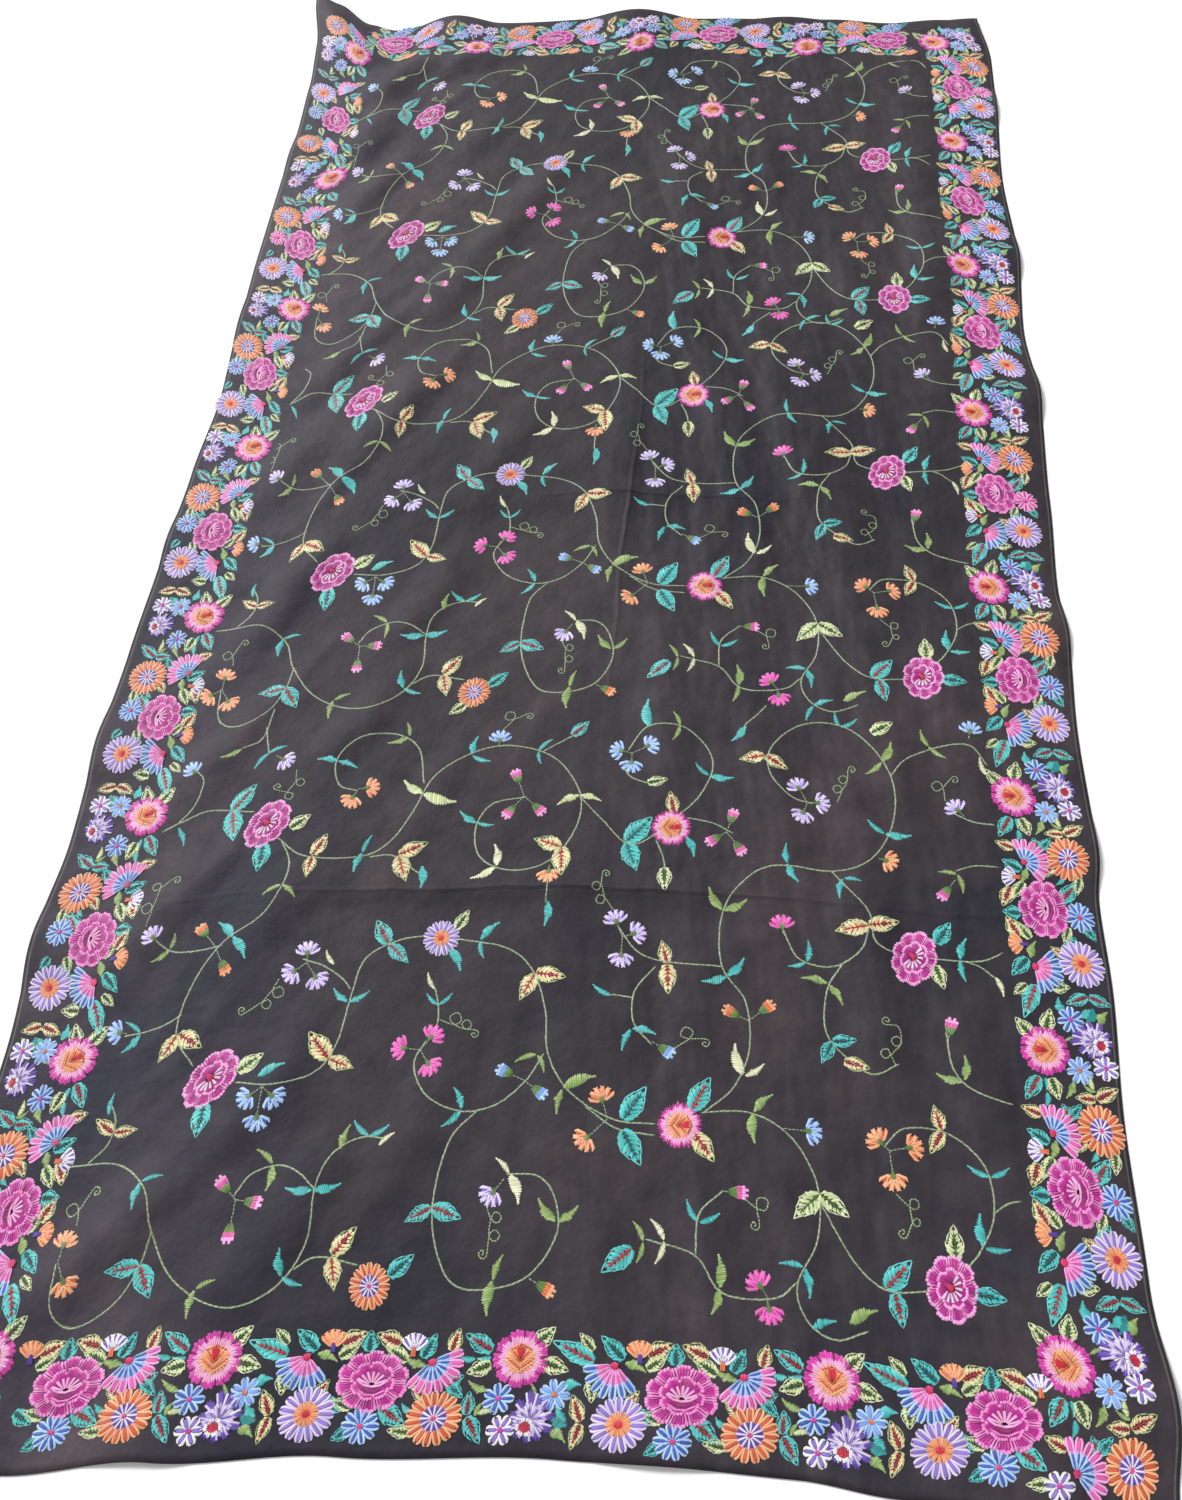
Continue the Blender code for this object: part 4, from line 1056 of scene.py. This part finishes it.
def smooth_line(points, step):
    """Even places along a smooth line through points."""
    points = np.array(points, float)
    ends = np.vstack([2 * points[0] - points[1], points, 2 * points[-1] - points[-2]])
    line = []
    for before, start, end, after in zip(ends[:-3], ends[1:-2], ends[2:-1], ends[3:]):
        for share in np.linspace(0, 1, LINE_PLACES, endpoint=False):
            line.append((2 * start + (end - before) * share
                         + (2 * before - 5 * start + 4 * end - after) * share ** 2
                         + (3 * start - before - 3 * end + after) * share ** 3) / 2)
    line.append(points[-1])
    line = np.array(line)
    run = np.concatenate([[0], np.cumsum(np.linalg.norm(np.diff(line, axis=0), axis=1))])
    places = np.linspace(0, run[-1], max(2, round(run[-1] / step) + 1))
    return np.stack([np.interp(places, run, line[:, 0]), np.interp(places, run, line[:, 1])], 1)


def stem_stitches(points, step, widths, colours, base=0.0, rise=0.5, overlap=0.35, slant=0.0):
    """Stitches one after the other along a line, each a little across it."""
    line = smooth_line(points, step)
    rows = []
    for start, end in zip(line[:-1], line[1:]):
        run = end - start
        reach = run * overlap / 2 + np.array([-run[1], run[0]]) * slant
        rows.append(strand(start - reach, end + reach, widths, base, rise, *colours))
    return np.array(rows)


def looped(points):
    """The points of a tendril with its small loops put in."""
    line = []
    for index, point in enumerate(points):
        line.append(point[:2])
        if len(point) < 3:
            continue
        radius = point[2]
        run = np.array(points[index + 1][:2], float) - np.array(points[index - 1][:2], float)
        run /= np.linalg.norm(run)
        side = np.array([-run[1], run[0]])
        for along, out in LOOP:
            line.append(tuple(np.array(point[:2]) + radius * (run * along + side * out)))
    end = np.array(line[-1], float)
    run = (end - np.array(line[-2], float)) / np.linalg.norm(end - np.array(line[-2], float))
    side = np.array([run[1], -run[0]])
    for along, out in CURL:
        line.append(tuple(end + along * run + out * side))
    return line


def trimmed(rows):
    """The strands whose middle lies between the borders."""
    middle = (rows[:, FROM] + rows[:, TO]) / 2
    return rows[in_field(middle[:, 0], middle[:, 1], STITCH_MARGIN)]


def line_rows(lines, layers, repeat):
    """Lines of the design in their layers of stitches."""
    rows = []
    for line in lines:
        points = [flat_point(point, repeat) for point in line]
        rows += [stem_stitches(points, *layer) for layer in layers]
    return trimmed(np.vstack(rows))


def vine_rows(repeat):
    """Vines in two layers: broad dark stitches, and short pale ones over them."""
    return line_rows(VINES, VINE_LAYERS, repeat)


def tendril_rows(repeat):
    """Thin tendrils with their loops and the curl at their end."""
    return line_rows([looped(tendril) for tendril in TENDRILS], TENDRIL_LAYERS, repeat)


def sprig_rows(repeat):
    """Leaves in pairs whose tips curve towards each other, and single leaves."""
    rows = []
    for sprig in SPRIGS:
        x, y = flat_point(sprig.joint, repeat)
        tips = [SPRIG_LENGTH * (np.array(flat_point(tip, repeat)) - (x, y)) for tip in sprig.tips]
        between = sum(tips) / len(tips)
        for tip_x, tip_y in tips:
            curve = 1 if tip_x * between[1] - tip_y * between[0] <= 0 else -1
            if in_field(x, y, 0) and in_field(x + tip_x, y + tip_y, 0):
                rows.append(leaf_at(sprig.kind, x, y, x + tip_x, y + tip_y, curve))
    return np.vstack(rows)


def spray_rows(repeat):
    """Small flowers and buds, each on its own short stem."""
    rows = []
    for spray in SPRAYS:
        x, y = flat_point(spray.joint, repeat)
        for middle in spray.middles:
            end_x, end_y = flat_point(middle, repeat)
            if not in_field(end_x, end_y, HEAD_MARGIN):
                continue
            length = math.hypot(end_x - x, end_y - y)
            turn = math.degrees(math.atan2(end_y - y, end_x - x))
            foot = max(0.0, length - HEAD_FOOT)
            if foot > SHORTEST_STEM:
                root = (x + (end_x - x) * foot / length, y + (end_y - y) * foot / length)
                rows.append(stem_stitches([(x, y), root], *STEM_LAYER))
            rows.append(moved(turned(moved(HEADS[spray.kind], foot, 0), turn), x, y))
    return np.vstack(rows)


def flower_rows(kind):
    """All the field's large flowers of one kind, and the nodes that they replace."""
    rows, nodes = [], []
    for flower in FLOWERS:
        if flower.kind != kind:
            continue
        size = FLOWER_SIZES[kind]
        bloom = sized(turned(BLOOMS[kind], flower.turn), flower.wide / size, flower.tall / size)
        bloom[:, [0, 2]] += flower.lean * bloom[:, [1, 3]]
        for index, place in enumerate(flower.places):
            rows.append(moved(bloom, *laid_point(place)))
            nodes.append(f"field_{flower.name}_{index + 1}")
    return np.vstack(rows), nodes


# Shader nodes


class Level:
    """A node's output that sums can be written with."""

    def __init__(self, tree, socket):
        self.tree = tree
        self.socket = socket

    def math(self, operation, first, second=None):
        """A sum of one or two values."""
        node = self.tree.nodes.new("ShaderNodeMath")
        node.operation = operation
        for index, value in enumerate((first, second)):
            if isinstance(value, Level):
                self.tree.links.new(value.socket, node.inputs[index])
            elif value is not None:
                node.inputs[index].default_value = value
        return Level(self.tree, node.outputs[0])

    def __add__(self, other):
        return self.math("ADD", self, other)

    def __sub__(self, other):
        return self.math("SUBTRACT", self, other)

    def __rsub__(self, other):
        return self.math("SUBTRACT", other, self)

    def __mul__(self, other):
        return self.math("MULTIPLY", self, other)

    def __truediv__(self, other):
        return self.math("DIVIDE", self, other)

    def sine(self):
        return self.math("SINE", self)

    def absolute(self):
        return self.math("ABSOLUTE", self)

    def above(self, other):
        return self.math("MAXIMUM", self, other)

    def below(self, other):
        return self.math("MINIMUM", self, other)

    def output(self, index):
        """Another output of the same node."""
        return Level(self.tree, self.socket.node.outputs[index])


class Finish:
    """A material and the nodes that make it."""

    def __init__(self, name):
        self.material = bpy.data.materials.new(name)
        self.material.use_nodes = True
        self.tree = self.material.node_tree
        self.shader = self.tree.nodes["Principled BSDF"]

    def node(self, kind, settings=None, output=0, **inputs):
        """Adds a node with its settings and its inputs, and gives one of its outputs."""
        node = self.tree.nodes.new(kind)
        for key, value in (settings or {}).items():
            setattr(node, key, value)
        for key, value in inputs.items():
            self.feed(node.inputs[int(key[1:]) if key[1:].isdigit() else key], value)
        return Level(self.tree, node.outputs[output])

    def feed(self, socket, value):
        """Links a node's output to a socket, or sets the socket."""
        if isinstance(value, Level):
            self.tree.links.new(value.socket, socket)
        else:
            socket.default_value = value

    def mix(self, share, first, second, blend="MIX"):
        """Mixes two colours."""
        settings = {"data_type": "RGBA", "blend_type": blend}
        return self.node("ShaderNodeMix", settings, 2, n0=share, n6=first, n7=second)

    def shaded(self, colour, shade):
        """A colour made darker or lighter by another."""
        return self.mix(1.0, colour, shade, "MULTIPLY")

    def noise(self, place, scale, detail=2.0, roughness=0.5):
        """A cloudy pattern."""
        return self.node("ShaderNodeTexNoise", None, 0, Vector=place, Scale=scale, Detail=detail,
                         Roughness=roughness)

    def grained(self, place, across, along, turn, detail, roughness):
        """A cloudy pattern that is turned clockwise and changes faster one way than the other."""
        place = self.node("ShaderNodeMapping", None, 0, Vector=place, Rotation=(0, 0, math.radians(turn)))
        place = self.node("ShaderNodeMapping", None, 0, Vector=place, Scale=(across, along, 1.0))
        return self.noise(place, 1.0, detail, roughness)

    def set(self, **values):
        """Sets or links inputs of the main shader."""
        for key, value in values.items():
            self.feed(self.shader.inputs[key.replace("_", " ")], value)

    def bump(self, height, distance, strength=1.0):
        """Gives the main shader a relief, in metres."""
        normal = self.node("ShaderNodeBump", None, 0, Height=height, Distance=distance, Strength=strength)
        self.set(Normal=normal)


def grey(value):
    """A neutral colour for a node."""
    return (value, value, value, 1.0)


# The plied lines of the thread: how fast they run across and along a strand, and their depth in metres
PLY_ACROSS = 18.85
PLY_ALONG = 2.6
PLY_DEPTH = 0.00012


def thread_finish(name):
    """Glossy silky thread: its colour is in the strand, with fine plied lines along it."""
    finish = Finish(name)
    colour = finish.node("ShaderNodeAttribute", {"attribute_name": "thread_colour"})
    lines = finish.node("ShaderNodeUVMap", {"uv_map": "Thread"})
    across = finish.node("ShaderNodeSeparateXYZ", None, 0, Vector=lines)
    ply = (across * PLY_ACROSS + across.output(1) * PLY_ALONG).sine() * 0.5 + 0.5
    place = finish.node("ShaderNodeTexCoord", None, 3)
    fade = finish.noise(place, 60.0, 3.0, 0.6)
    colour = finish.shaded(colour, finish.mix(ply * 0.35, grey(1.0), grey(0.55)))
    colour = finish.shaded(colour, finish.mix(fade, grey(0.84), grey(1.12)))
    finish.set(Base_Color=colour, Roughness=fade * 0.2 + 0.36, Sheen_Weight=0.34, Sheen_Roughness=0.45,
               Specular_IOR_Level=0.42)
    finish.bump(ply, PLY_DEPTH, 0.7)
    return finish.material


# Patterns of the cloth: how often they change in a metre across and along it, their turn in degrees,
# their detail and their roughness
PATTERNS = {
    "slub": (900.0, 60.0, 0, 2.0, 0.6),
    "broad": (3.2, 1.8, 24, 3.0, 0.55),
    "patch": (10.0, 5.0, 28, 4.0, 0.62),
    "bands": (13.0, 2.2, -8, 2.0, 0.5),
    "ripples": (9.0, 3.0, 40, 1.0, 0.5),
    "leaning": (15.0, 5.0, 40, 1.0, 0.5),
    "upright": (24.0, 9.0, -8, 2.0, 0.5),
}
DAPPLE = (30.0, 3.0, 0.6)
RELIEF_DEPTH = 0.0012
SELVEDGE_COLOUR = (0.20, 0.18, 0.17, 1)


def cloth_finish(settings):
    """Charcoal twill of fine wool, with a soft brown sheen painted into its colour in patches and painted
    light and shade on its wrinkles.
    """
    finish = Finish("charcoal_pashmina")
    place = finish.node("ShaderNodeUVMap", {"uv_map": "Cloth"})
    across = finish.node("ShaderNodeSeparateXYZ", None, 0, Vector=place)
    along = across.output(1)
    pitch = 2 * math.pi / settings.twill_pitch
    twill = (across * pitch + along * pitch).sine() * 0.5 + 0.5
    weft = (along * pitch * 1.7).sine() * 0.5 + 0.5
    right_half = (across * 6.0 + 0.3).above(0.0).below(1.0)
    left_half = 1.0 - right_half
    pattern = {name: finish.grained(place, *row) for name, row in PATTERNS.items()}
    dapple = finish.noise(place, *DAPPLE)
    # Painted sheen: brown is painted into the cloth's colour in broad patches, where light would catch the
    # wool
    painted_sheen = (pattern["broad"] * 1.9 - 0.62).above(0.0)
    colour = finish.mix(painted_sheen, (*settings.cloth_colour, 1.0), (*settings.painted_sheen_colour, 1.0))
    # Painted light and shade: broad patches, streaks along the folds and small dapples darken the colour
    # towards blue and lighten it towards warm brown, as light falls on the wrinkles; they also give the wool
    # an uneven tone
    painted_fold_shading = (pattern["bands"] * 1.6 - 0.3) * right_half + pattern["ripples"] * left_half
    for level in (pattern["patch"], painted_fold_shading, dapple * 1.9 - 0.45):
        colour = finish.shaded(colour, finish.mix(level, (0.68, 0.69, 0.74, 1), (1.30, 1.27, 1.22, 1)))
    # Painted light: the cloth is painted paler towards its left border and its near end, as if lit more
    # brightly there
    painted_glow = (across * -4.0 - 0.7).above(0.0) + (along * -0.28).above(0.0)
    colour = finish.shaded(colour, finish.mix(painted_glow, (0.91, 0.92, 0.96, 1), (1.50, 1.44, 1.58, 1)))
    grain = twill * 0.22 + pattern["slub"] * 0.30
    colour = finish.shaded(colour, finish.mix(grain, grey(1.12), grey(0.72)))
    edge = (across.absolute() - SELVEDGE_PLACE).absolute()
    selvedge = (1.0 - edge / SELVEDGE_WIDTH).above(0.0)
    colour = finish.mix(selvedge * (pattern["slub"] + 0.1), colour, SELVEDGE_COLOUR)
    finish.set(Base_Color=colour, Roughness=pattern["patch"] * 0.16 + 0.50, Sheen_Weight=0.04,
               Sheen_Roughness=0.5, Sheen_Tint=(1.0, 0.80, 0.74, 1.0), Specular_IOR_Level=0.16)
    wrinkle = pattern["leaning"] * left_half * 4.0 + pattern["upright"] * right_half * 7.0 + dapple * 2.0
    waver = pattern["patch"] * 0.012 - 0.006
    for line in SHARP_LINES:
        over, down = (along, across) if line.axis == "along" else (across, along)
        ridge = (1.0 - (over + waver - line.place).absolute() / SHARP_LINE_WIDTH).above(0.0)
        wrinkle = wrinkle + ridge * (1.0 - (down - line.middle).absolute() / line.half_length).above(0.0)
    finish.bump(wrinkle + (twill + weft) * 0.035 + pattern["slub"] * 0.08, RELIEF_DEPTH)
    return finish.material


# Meshes


# Where along it a strand has points, when it is short and when it is longer than LONG_STRAND, and where
# over its width
LONG_STRAND = 9.0
SHORT_STATIONS = np.array([0.0, 0.5, 1.0])
LONG_STATIONS = np.array([0.0, 0.2, 0.8, 1.0])
OVER = np.array([-1.0, 0.0, 1.0])
# How deep the sides and the ends of a strand go into the cloth, and how much lower it is at its ends
SIDE_DEPTH = 0.12
END_DEPTH = 0.30
END_FALL = 0.75
# How much painted shade darkens a strand down its sides, where it curves away, and at its ends, where it goes
# into the cloth
PAINTED_SIDE_SHADE = 0.50
PAINTED_END_SHADE = 0.12
# The small unevenness of hand work: how far a strand's start and end stray, and how light it is. The
# lightness is partly a painted highlight: its spread gives pale glossy streaks besides threads of uneven
# tone, and its mean makes every strand lighter.
START_STRAY = 0.12
END_STRAY = 0.18
LIGHTNESS = (1.14, 0.12)
PLY_START = 6.0
# The share of a strand's own cell of the UV map that stays free on each side
CELL_MARGIN = 0.08


def strand_points(rows, stations):
    """Places and heights of the points of strands, in millimetres: three over each station."""
    start, end = rows[:, FROM], rows[:, TO]
    run = end - start
    length = np.linalg.norm(run, axis=1, keepdims=True) + 1e-6
    side = np.stack([-run[:, 1], run[:, 0]], 1) / length
    bow = rows[:, [BOW]] * 4 * stations * (1 - stations)
    centre = start[:, None, :] + run[:, None, :] * stations[None, :, None]
    centre = centre + side[:, None, :] * bow[:, :, None]
    first, middle, last = rows[:, WIDTHS].T[:, :, None]
    widths = np.where(stations < 0.5, first + (middle - first) * 2 * stations,
                      middle + (last - middle) * (2 * stations - 1))
    places = centre[:, :, None, :] + side[:, None, None, :] * (widths[:, :, None] * OVER / 2)[..., None]
    tucked = np.isin(stations, (0.0, 1.0)).astype(float)
    tucked = tucked[None, :, None]
    rise = rows[:, RISE, None, None] * (1 - np.abs(OVER)) * (1 - END_FALL * tucked)
    height = rows[:, BASE, None, None] + rise - SIDE_DEPTH * np.abs(OVER) - END_DEPTH * tucked
    return places, height, length


def strand_colours(rows, stations, lightness):
    """Colours of the points of strands, with painted shade down the sides and where the ends go in."""
    tucked = np.isin(stations, (0.0, 1.0)).astype(float)
    colours = rows[:, None, START_COLOUR] * (1 - stations)[None, :, None]
    colours = colours + rows[:, None, END_COLOUR] * stations[None, :, None]
    # Painted shade: each strand is darker down its sides and at its tucked ends
    shade = lightness[:, None, None] * (1 - PAINTED_END_SHADE * tucked)[None, :, None]
    shade = shade * (1 - PAINTED_SIDE_SHADE * np.abs(OVER))
    return np.clip(colours[:, :, None, :] * shade[..., None], 0, 1)


def thread_piece(name, rows, nodes, seed):
    """Makes strands into one piece of thread that lies on the cloth."""
    draw = np.random.default_rng(seed)
    rows = rows.copy()
    rows[:, FROM] += draw.normal(0, START_STRAY, (len(rows), 2))
    rows[:, TO] += draw.normal(0, END_STRAY, (len(rows), 2))
    # Each strand's lightness: threads of uneven tone, and partly a painted glossy highlight
    lightness = draw.normal(*LIGHTNESS, len(rows))
    offset = draw.uniform(0, PLY_START, len(rows))
    long_ones = np.linalg.norm(rows[:, TO] - rows[:, FROM], axis=1) > LONG_STRAND
    columns = math.ceil(math.sqrt(len(rows)))
    lines = math.ceil(len(rows) / columns)
    cell_size = 1 - 2 * CELL_MARGIN
    parts, cells, points = [], 0, 0
    for stations, chosen in ((SHORT_STATIONS, ~long_ones), (LONG_STATIONS, long_ones)):
        count, steps, wide = int(chosen.sum()), len(stations), len(OVER)
        places, height, length = strand_points(rows[chosen], stations)
        shape = (count, steps, wide)
        corner = points + np.arange(count * steps * wide).reshape(shape)
        quads = np.stack([corner[:, 1:, :-1], corner[:, 1:, 1:], corner[:, :-1, 1:], corner[:, :-1, :-1]], -1)
        cell = (cells + np.arange(count))[:, None, None]
        u = (cell % columns + CELL_MARGIN + cell_size * (OVER + 1) / 2) / columns
        v = (cell // columns + CELL_MARGIN + cell_size * stations[None, :, None]) / lines
        u, v = np.broadcast_to(u, shape), np.broadcast_to(v, shape)
        lay_u = np.broadcast_to((OVER + 1) / 2, shape)
        lay_v = np.broadcast_to((length * stations + offset[chosen][:, None])[:, :, None], shape)
        parts.append((places.reshape(-1, 2), height.reshape(-1), quads.reshape(-1, 4),
                      strand_colours(rows[chosen], stations, lightness[chosen]).reshape(-1, 3),
                      np.stack([u, v], -1).reshape(-1, 2), np.stack([lay_u, lay_v], -1).reshape(-1, 2)))
        cells += count
        points += count * steps * wide
    places, height, quads, colours, atlas, thread = (np.concatenate(part) for part in zip(*parts))
    across, along = places[:, 0] * MM, places[:, 1] * MM
    x, y = plan(across, along)
    z = cloth_top(across, along) + height * MM
    mesh = quad_mesh(name, np.stack([x - MIDDLE[0], y - MIDDLE[1], z], 1), quads)
    store = mesh.color_attributes.new("thread_colour", "FLOAT_COLOR", "POINT")
    store.data.foreach_set("color", np.hstack([colours, np.ones((len(colours), 1))]).ravel())
    for map_name, values in (("OFBake", atlas), ("Thread", thread)):
        layer = mesh.uv_layers.new(name=map_name)
        layer.data.foreach_set("uv", values[quads.ravel()].ravel())
    piece = riding_piece(name, mesh, thread_finish(name + "_silk"))
    if nodes:
        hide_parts(*nodes)


def riding_piece(name, mesh, material):
    """Puts a mesh into the scene as a piece that rides on the root."""
    piece = bpy.data.objects.new(name, mesh)
    bpy.context.scene.collection.objects.link(piece)
    mesh.materials.append(material)
    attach(piece, "root")
    return piece


def quad_mesh(name, places, quads):
    """A smooth mesh of four-sided faces."""
    mesh = bpy.data.meshes.new(name)
    mesh.vertices.add(len(places))
    mesh.vertices.foreach_set("co", places.ravel())
    mesh.loops.add(quads.size)
    mesh.loops.foreach_set("vertex_index", quads.ravel())
    mesh.polygons.add(len(quads))
    mesh.polygons.foreach_set("loop_start", np.arange(0, quads.size, 4))
    mesh.update(calc_edges=True)
    mesh.polygons.foreach_set("use_smooth", np.ones(len(quads), bool))
    return mesh


# In the cloth's UV map the upper face lies on the left, the lower face on the right, and the rim in a
# strip between them: the share of the map's width that a face takes up, and the sides of the strip
FACE_SHARE = 0.49
STRIP_LEFT = 0.492
STRIP_RIGHT = 0.508


def cloth_shell():
    """The whole cloth: both faces and the turned rim."""
    across, along = np.meshgrid(GRID_ACROSS, GRID_ALONG)
    x, y = plan(across, along)
    lower = np.stack([x - MIDDLE[0], y - MIDDLE[1], GRID_LIFT], -1).reshape(-1, 3)
    upper = lower + (0, 0, CLOTH_THICKNESS)
    flat = np.stack([across, along], -1).reshape(-1, 2)
    corner = np.arange(len(lower)).reshape(across.shape)
    face = np.stack([corner[:-1, :-1], corner[:-1, 1:], corner[1:, 1:], corner[1:, :-1]], -1).reshape(-1, 4)
    rim = np.concatenate([corner[0, :], corner[1:, -1], corner[-1, -2::-1], corner[-2:0:-1, 0]])
    after = np.roll(rim, -1)
    top = len(lower)
    wall = np.stack([rim, after, after + top, rim + top], -1)
    quads = np.vstack([face + top, face[:, ::-1], wall])
    mesh = quad_mesh("shawl_cloth", np.vstack([lower, upper]), quads)
    layer = mesh.uv_layers.new(name="Cloth")
    layer.data.foreach_set("uv", np.vstack([flat, flat])[quads.ravel()].ravel())
    share = np.stack([FACE_SHARE * (across / CLOTH_WIDTH + 0.5), along / CLOTH_LENGTH + 0.5], -1)
    share = share.reshape(-1, 2)
    step = np.arange(len(rim)) / len(rim)
    left, right = np.full(len(rim), STRIP_LEFT), np.full(len(rim), STRIP_RIGHT)
    strip = np.stack([left, step, left, step + 1 / len(rim), right, step + 1 / len(rim), right, step], -1)
    mirrored = (1, 0) + share * (-1, 1)
    bake = np.vstack([share[face.ravel()], mirrored[face[:, ::-1].ravel()], strip.reshape(-1, 2)])
    mesh.uv_layers.new(name="OFBake").data.foreach_set("uv", bake.ravel())
    return mesh


# Add-on


class ShawlCloth(PropertyGroup):
    """Finish of the cloth."""

    twill_pitch: FloatProperty(name="Twill pitch", description="Distance between two twill lines",
                               default=0.0011, unit="LENGTH")
    cloth_colour: FloatVectorProperty(name="Cloth colour", description="Charcoal of the cloth",
                                      default=(0.017, 0.018, 0.026), subtype="COLOR", min=0, max=1)
    # The colour of the painted sheen: brown painted into the cloth where it would be lit
    painted_sheen_colour: FloatVectorProperty(name="Sheen colour", description="Brown where the cloth is lit",
                                      default=(0.062, 0.048, 0.051), subtype="COLOR", min=0, max=1)


class ShawlThread(PropertyGroup):
    """How the thread is worked."""

    seed: IntProperty(name="Hand", description="Sets the small unevenness of the stitches", default=7)


class SHAWL_OT_stage(Operator):
    """Sets up the pale floor, the soft lights and the camera"""

    bl_idname = "shawl.stage"
    bl_label = "Stage"

    def execute(self, context):
        make_floor()
        make_lights()
        make_camera()
        return {"FINISHED"}


class SHAWL_OT_borders(Operator):
    """Works the four borders"""

    bl_idname = "shawl.borders"
    bl_label = "Borders"

    def execute(self, context):
        seed = context.scene.shawl_thread.seed
        for index, name in enumerate(BORDERS):
            thread_piece(name + "_thread", border_rows(name), [name], seed + index)
        return {"FINISHED"}


class SHAWL_OT_field_flowers(Operator):
    """Works the field's large flowers"""

    bl_idname = "shawl.field_flowers"
    bl_label = "Field flowers"

    def execute(self, context):
        seed = context.scene.shawl_thread.seed
        for index, kind in enumerate(FLOWER_SIZES):
            rows, nodes = flower_rows(kind)
            name = kind.removeprefix("field_")
            thread_piece(f"field_{name}_thread_work", rows, nodes, seed + 10 + index)
        return {"FINISHED"}


class SHAWL_OT_field_vines(Operator):
    """Works the field's vines, leaves, small flowers and tendrils"""

    bl_idname = "shawl.field_vines"
    bl_label = "Field vines"

    def execute(self, context):
        seed = context.scene.shawl_thread.seed
        works = {"field_vines": vine_rows, "field_tendrils": tendril_rows, "field_leaves": sprig_rows,
                 "field_sprays": spray_rows}
        for index, (name, work) in enumerate(works.items()):
            rows = np.vstack([work(repeat) for repeat in range(FIELD_REPEATS)])
            thread_piece(name, rows, [], seed + 20 + index)
        return {"FINISHED"}


class SHAWL_OT_cloth(Operator):
    """Makes the cloth under all the thread"""

    bl_idname = "shawl.cloth"
    bl_label = "Cloth"

    def execute(self, context):
        piece = riding_piece("shawl_cloth", cloth_shell(), cloth_finish(context.scene.shawl_cloth))
        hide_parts("shawl_panel")
        return {"FINISHED"}


# The floor, a hair below the cloth, and the light, in metres and degrees
FLOOR_SIZE = 16.0
FLOOR_DROP = 0.0002
LIGHT_PLACE = Vector((-2.0, 2.0, 2.2))
LIGHT_SPREAD = 22.0
LIGHT_STRENGTH = 3.6
SURROUND_STRENGTH = 0.55


def make_floor():
    """A wide pale floor under the shawl."""
    bpy.ops.object.select_all(action="DESELECT")
    bpy.ops.mesh.primitive_plane_add(size=1.0, location=(0, 0, 0))
    floor = bpy.context.object
    floor.name = "studio_floor"
    floor.scale = (FLOOR_SIZE, FLOOR_SIZE, 1)
    floor.location.z = -FLOOR_DROP
    bpy.ops.object.transform_apply(location=True, rotation=True, scale=True)
    finish = Finish("pale_floor")
    place = finish.node("ShaderNodeTexCoord", None, 3)
    fade = finish.noise(place, 2.0, 3.0)
    finish.set(Base_Color=finish.mix(fade, grey(0.90), grey(0.93)), Roughness=0.9)
    floor.data.materials.append(finish.material)


def make_lights():
    """A soft light from the far left and a pale surround."""
    light = bpy.data.lights.new("soft_light", "SUN")
    light.angle = math.radians(LIGHT_SPREAD)
    light.energy = LIGHT_STRENGTH
    lamp = bpy.data.objects.new("soft_light", light)
    lamp.location = LIGHT_PLACE
    lamp.rotation_euler = (-LIGHT_PLACE).to_track_quat("-Z", "Y").to_euler()
    bpy.context.scene.collection.objects.link(lamp)
    world = bpy.data.worlds.new("studio")
    world.use_nodes = True
    surround = world.node_tree.nodes["Background"]
    surround.inputs["Color"].default_value = grey(1.0)
    surround.inputs["Strength"].default_value = SURROUND_STRENGTH
    bpy.context.scene.world = world
    bpy.context.scene.view_settings.view_transform = "Standard"


# The camera: its place, its right and up directions, its lens and the height of its picture in millimetres
CAMERA_PLACE = Vector((0.1361, -0.9643, 1.1374))
CAMERA_RIGHT = Vector((0.99523, 0.07737, -0.05938))
CAMERA_UP = Vector((-0.03836, 0.87030, 0.49103))
CAMERA_LENS = 29.71
CAMERA_PICTURE = 36.0


def make_camera():
    """The camera where the picture was taken from: high above the near end, a little to the right."""
    camera = bpy.data.cameras.new("camera")
    camera.sensor_fit = "VERTICAL"
    camera.sensor_height = CAMERA_PICTURE
    camera.lens = CAMERA_LENS
    holder = bpy.data.objects.new("camera", camera)
    back = CAMERA_RIGHT.cross(CAMERA_UP).normalized()
    turn = Matrix((CAMERA_RIGHT, CAMERA_UP, back)).transposed()
    holder.matrix_world = Matrix.Translation(CAMERA_PLACE) @ turn.to_4x4()
    bpy.context.scene.collection.objects.link(holder)
    bpy.context.scene.camera = holder


OPERATORS = (SHAWL_OT_stage, SHAWL_OT_borders, SHAWL_OT_field_flowers, SHAWL_OT_field_vines, SHAWL_OT_cloth)


class SHAWL_PT_panel(Panel):
    """Lists the steps that make the shawl"""

    bl_label = "Embroidered shawl"
    bl_idname = "SHAWL_PT_panel"
    bl_space_type = "VIEW_3D"
    bl_region_type = "UI"
    bl_category = "Shawl"

    def draw(self, context):
        for operator in OPERATORS:
            self.layout.operator(operator.bl_idname)


CLASSES = (ShawlCloth, ShawlThread, *OPERATORS, SHAWL_PT_panel)


def register():
    """Registers the add-on's classes and its settings."""
    for item in CLASSES:
        bpy.utils.register_class(item)
    bpy.types.Scene.shawl_cloth = PointerProperty(type=ShawlCloth)
    bpy.types.Scene.shawl_thread = PointerProperty(type=ShawlThread)


def unregister():
    """Takes them out again."""
    del bpy.types.Scene.shawl_thread
    del bpy.types.Scene.shawl_cloth
    for item in reversed(CLASSES):
        bpy.utils.unregister_class(item)


def main():
    """Makes the stage, the thread and the cloth in order."""
    register()
    bpy.ops.shawl.stage()
    bpy.ops.shawl.borders()
    bpy.ops.shawl.field_flowers()
    bpy.ops.shawl.field_vines()
    bpy.ops.shawl.cloth()


if __name__ == "__main__":
    main()
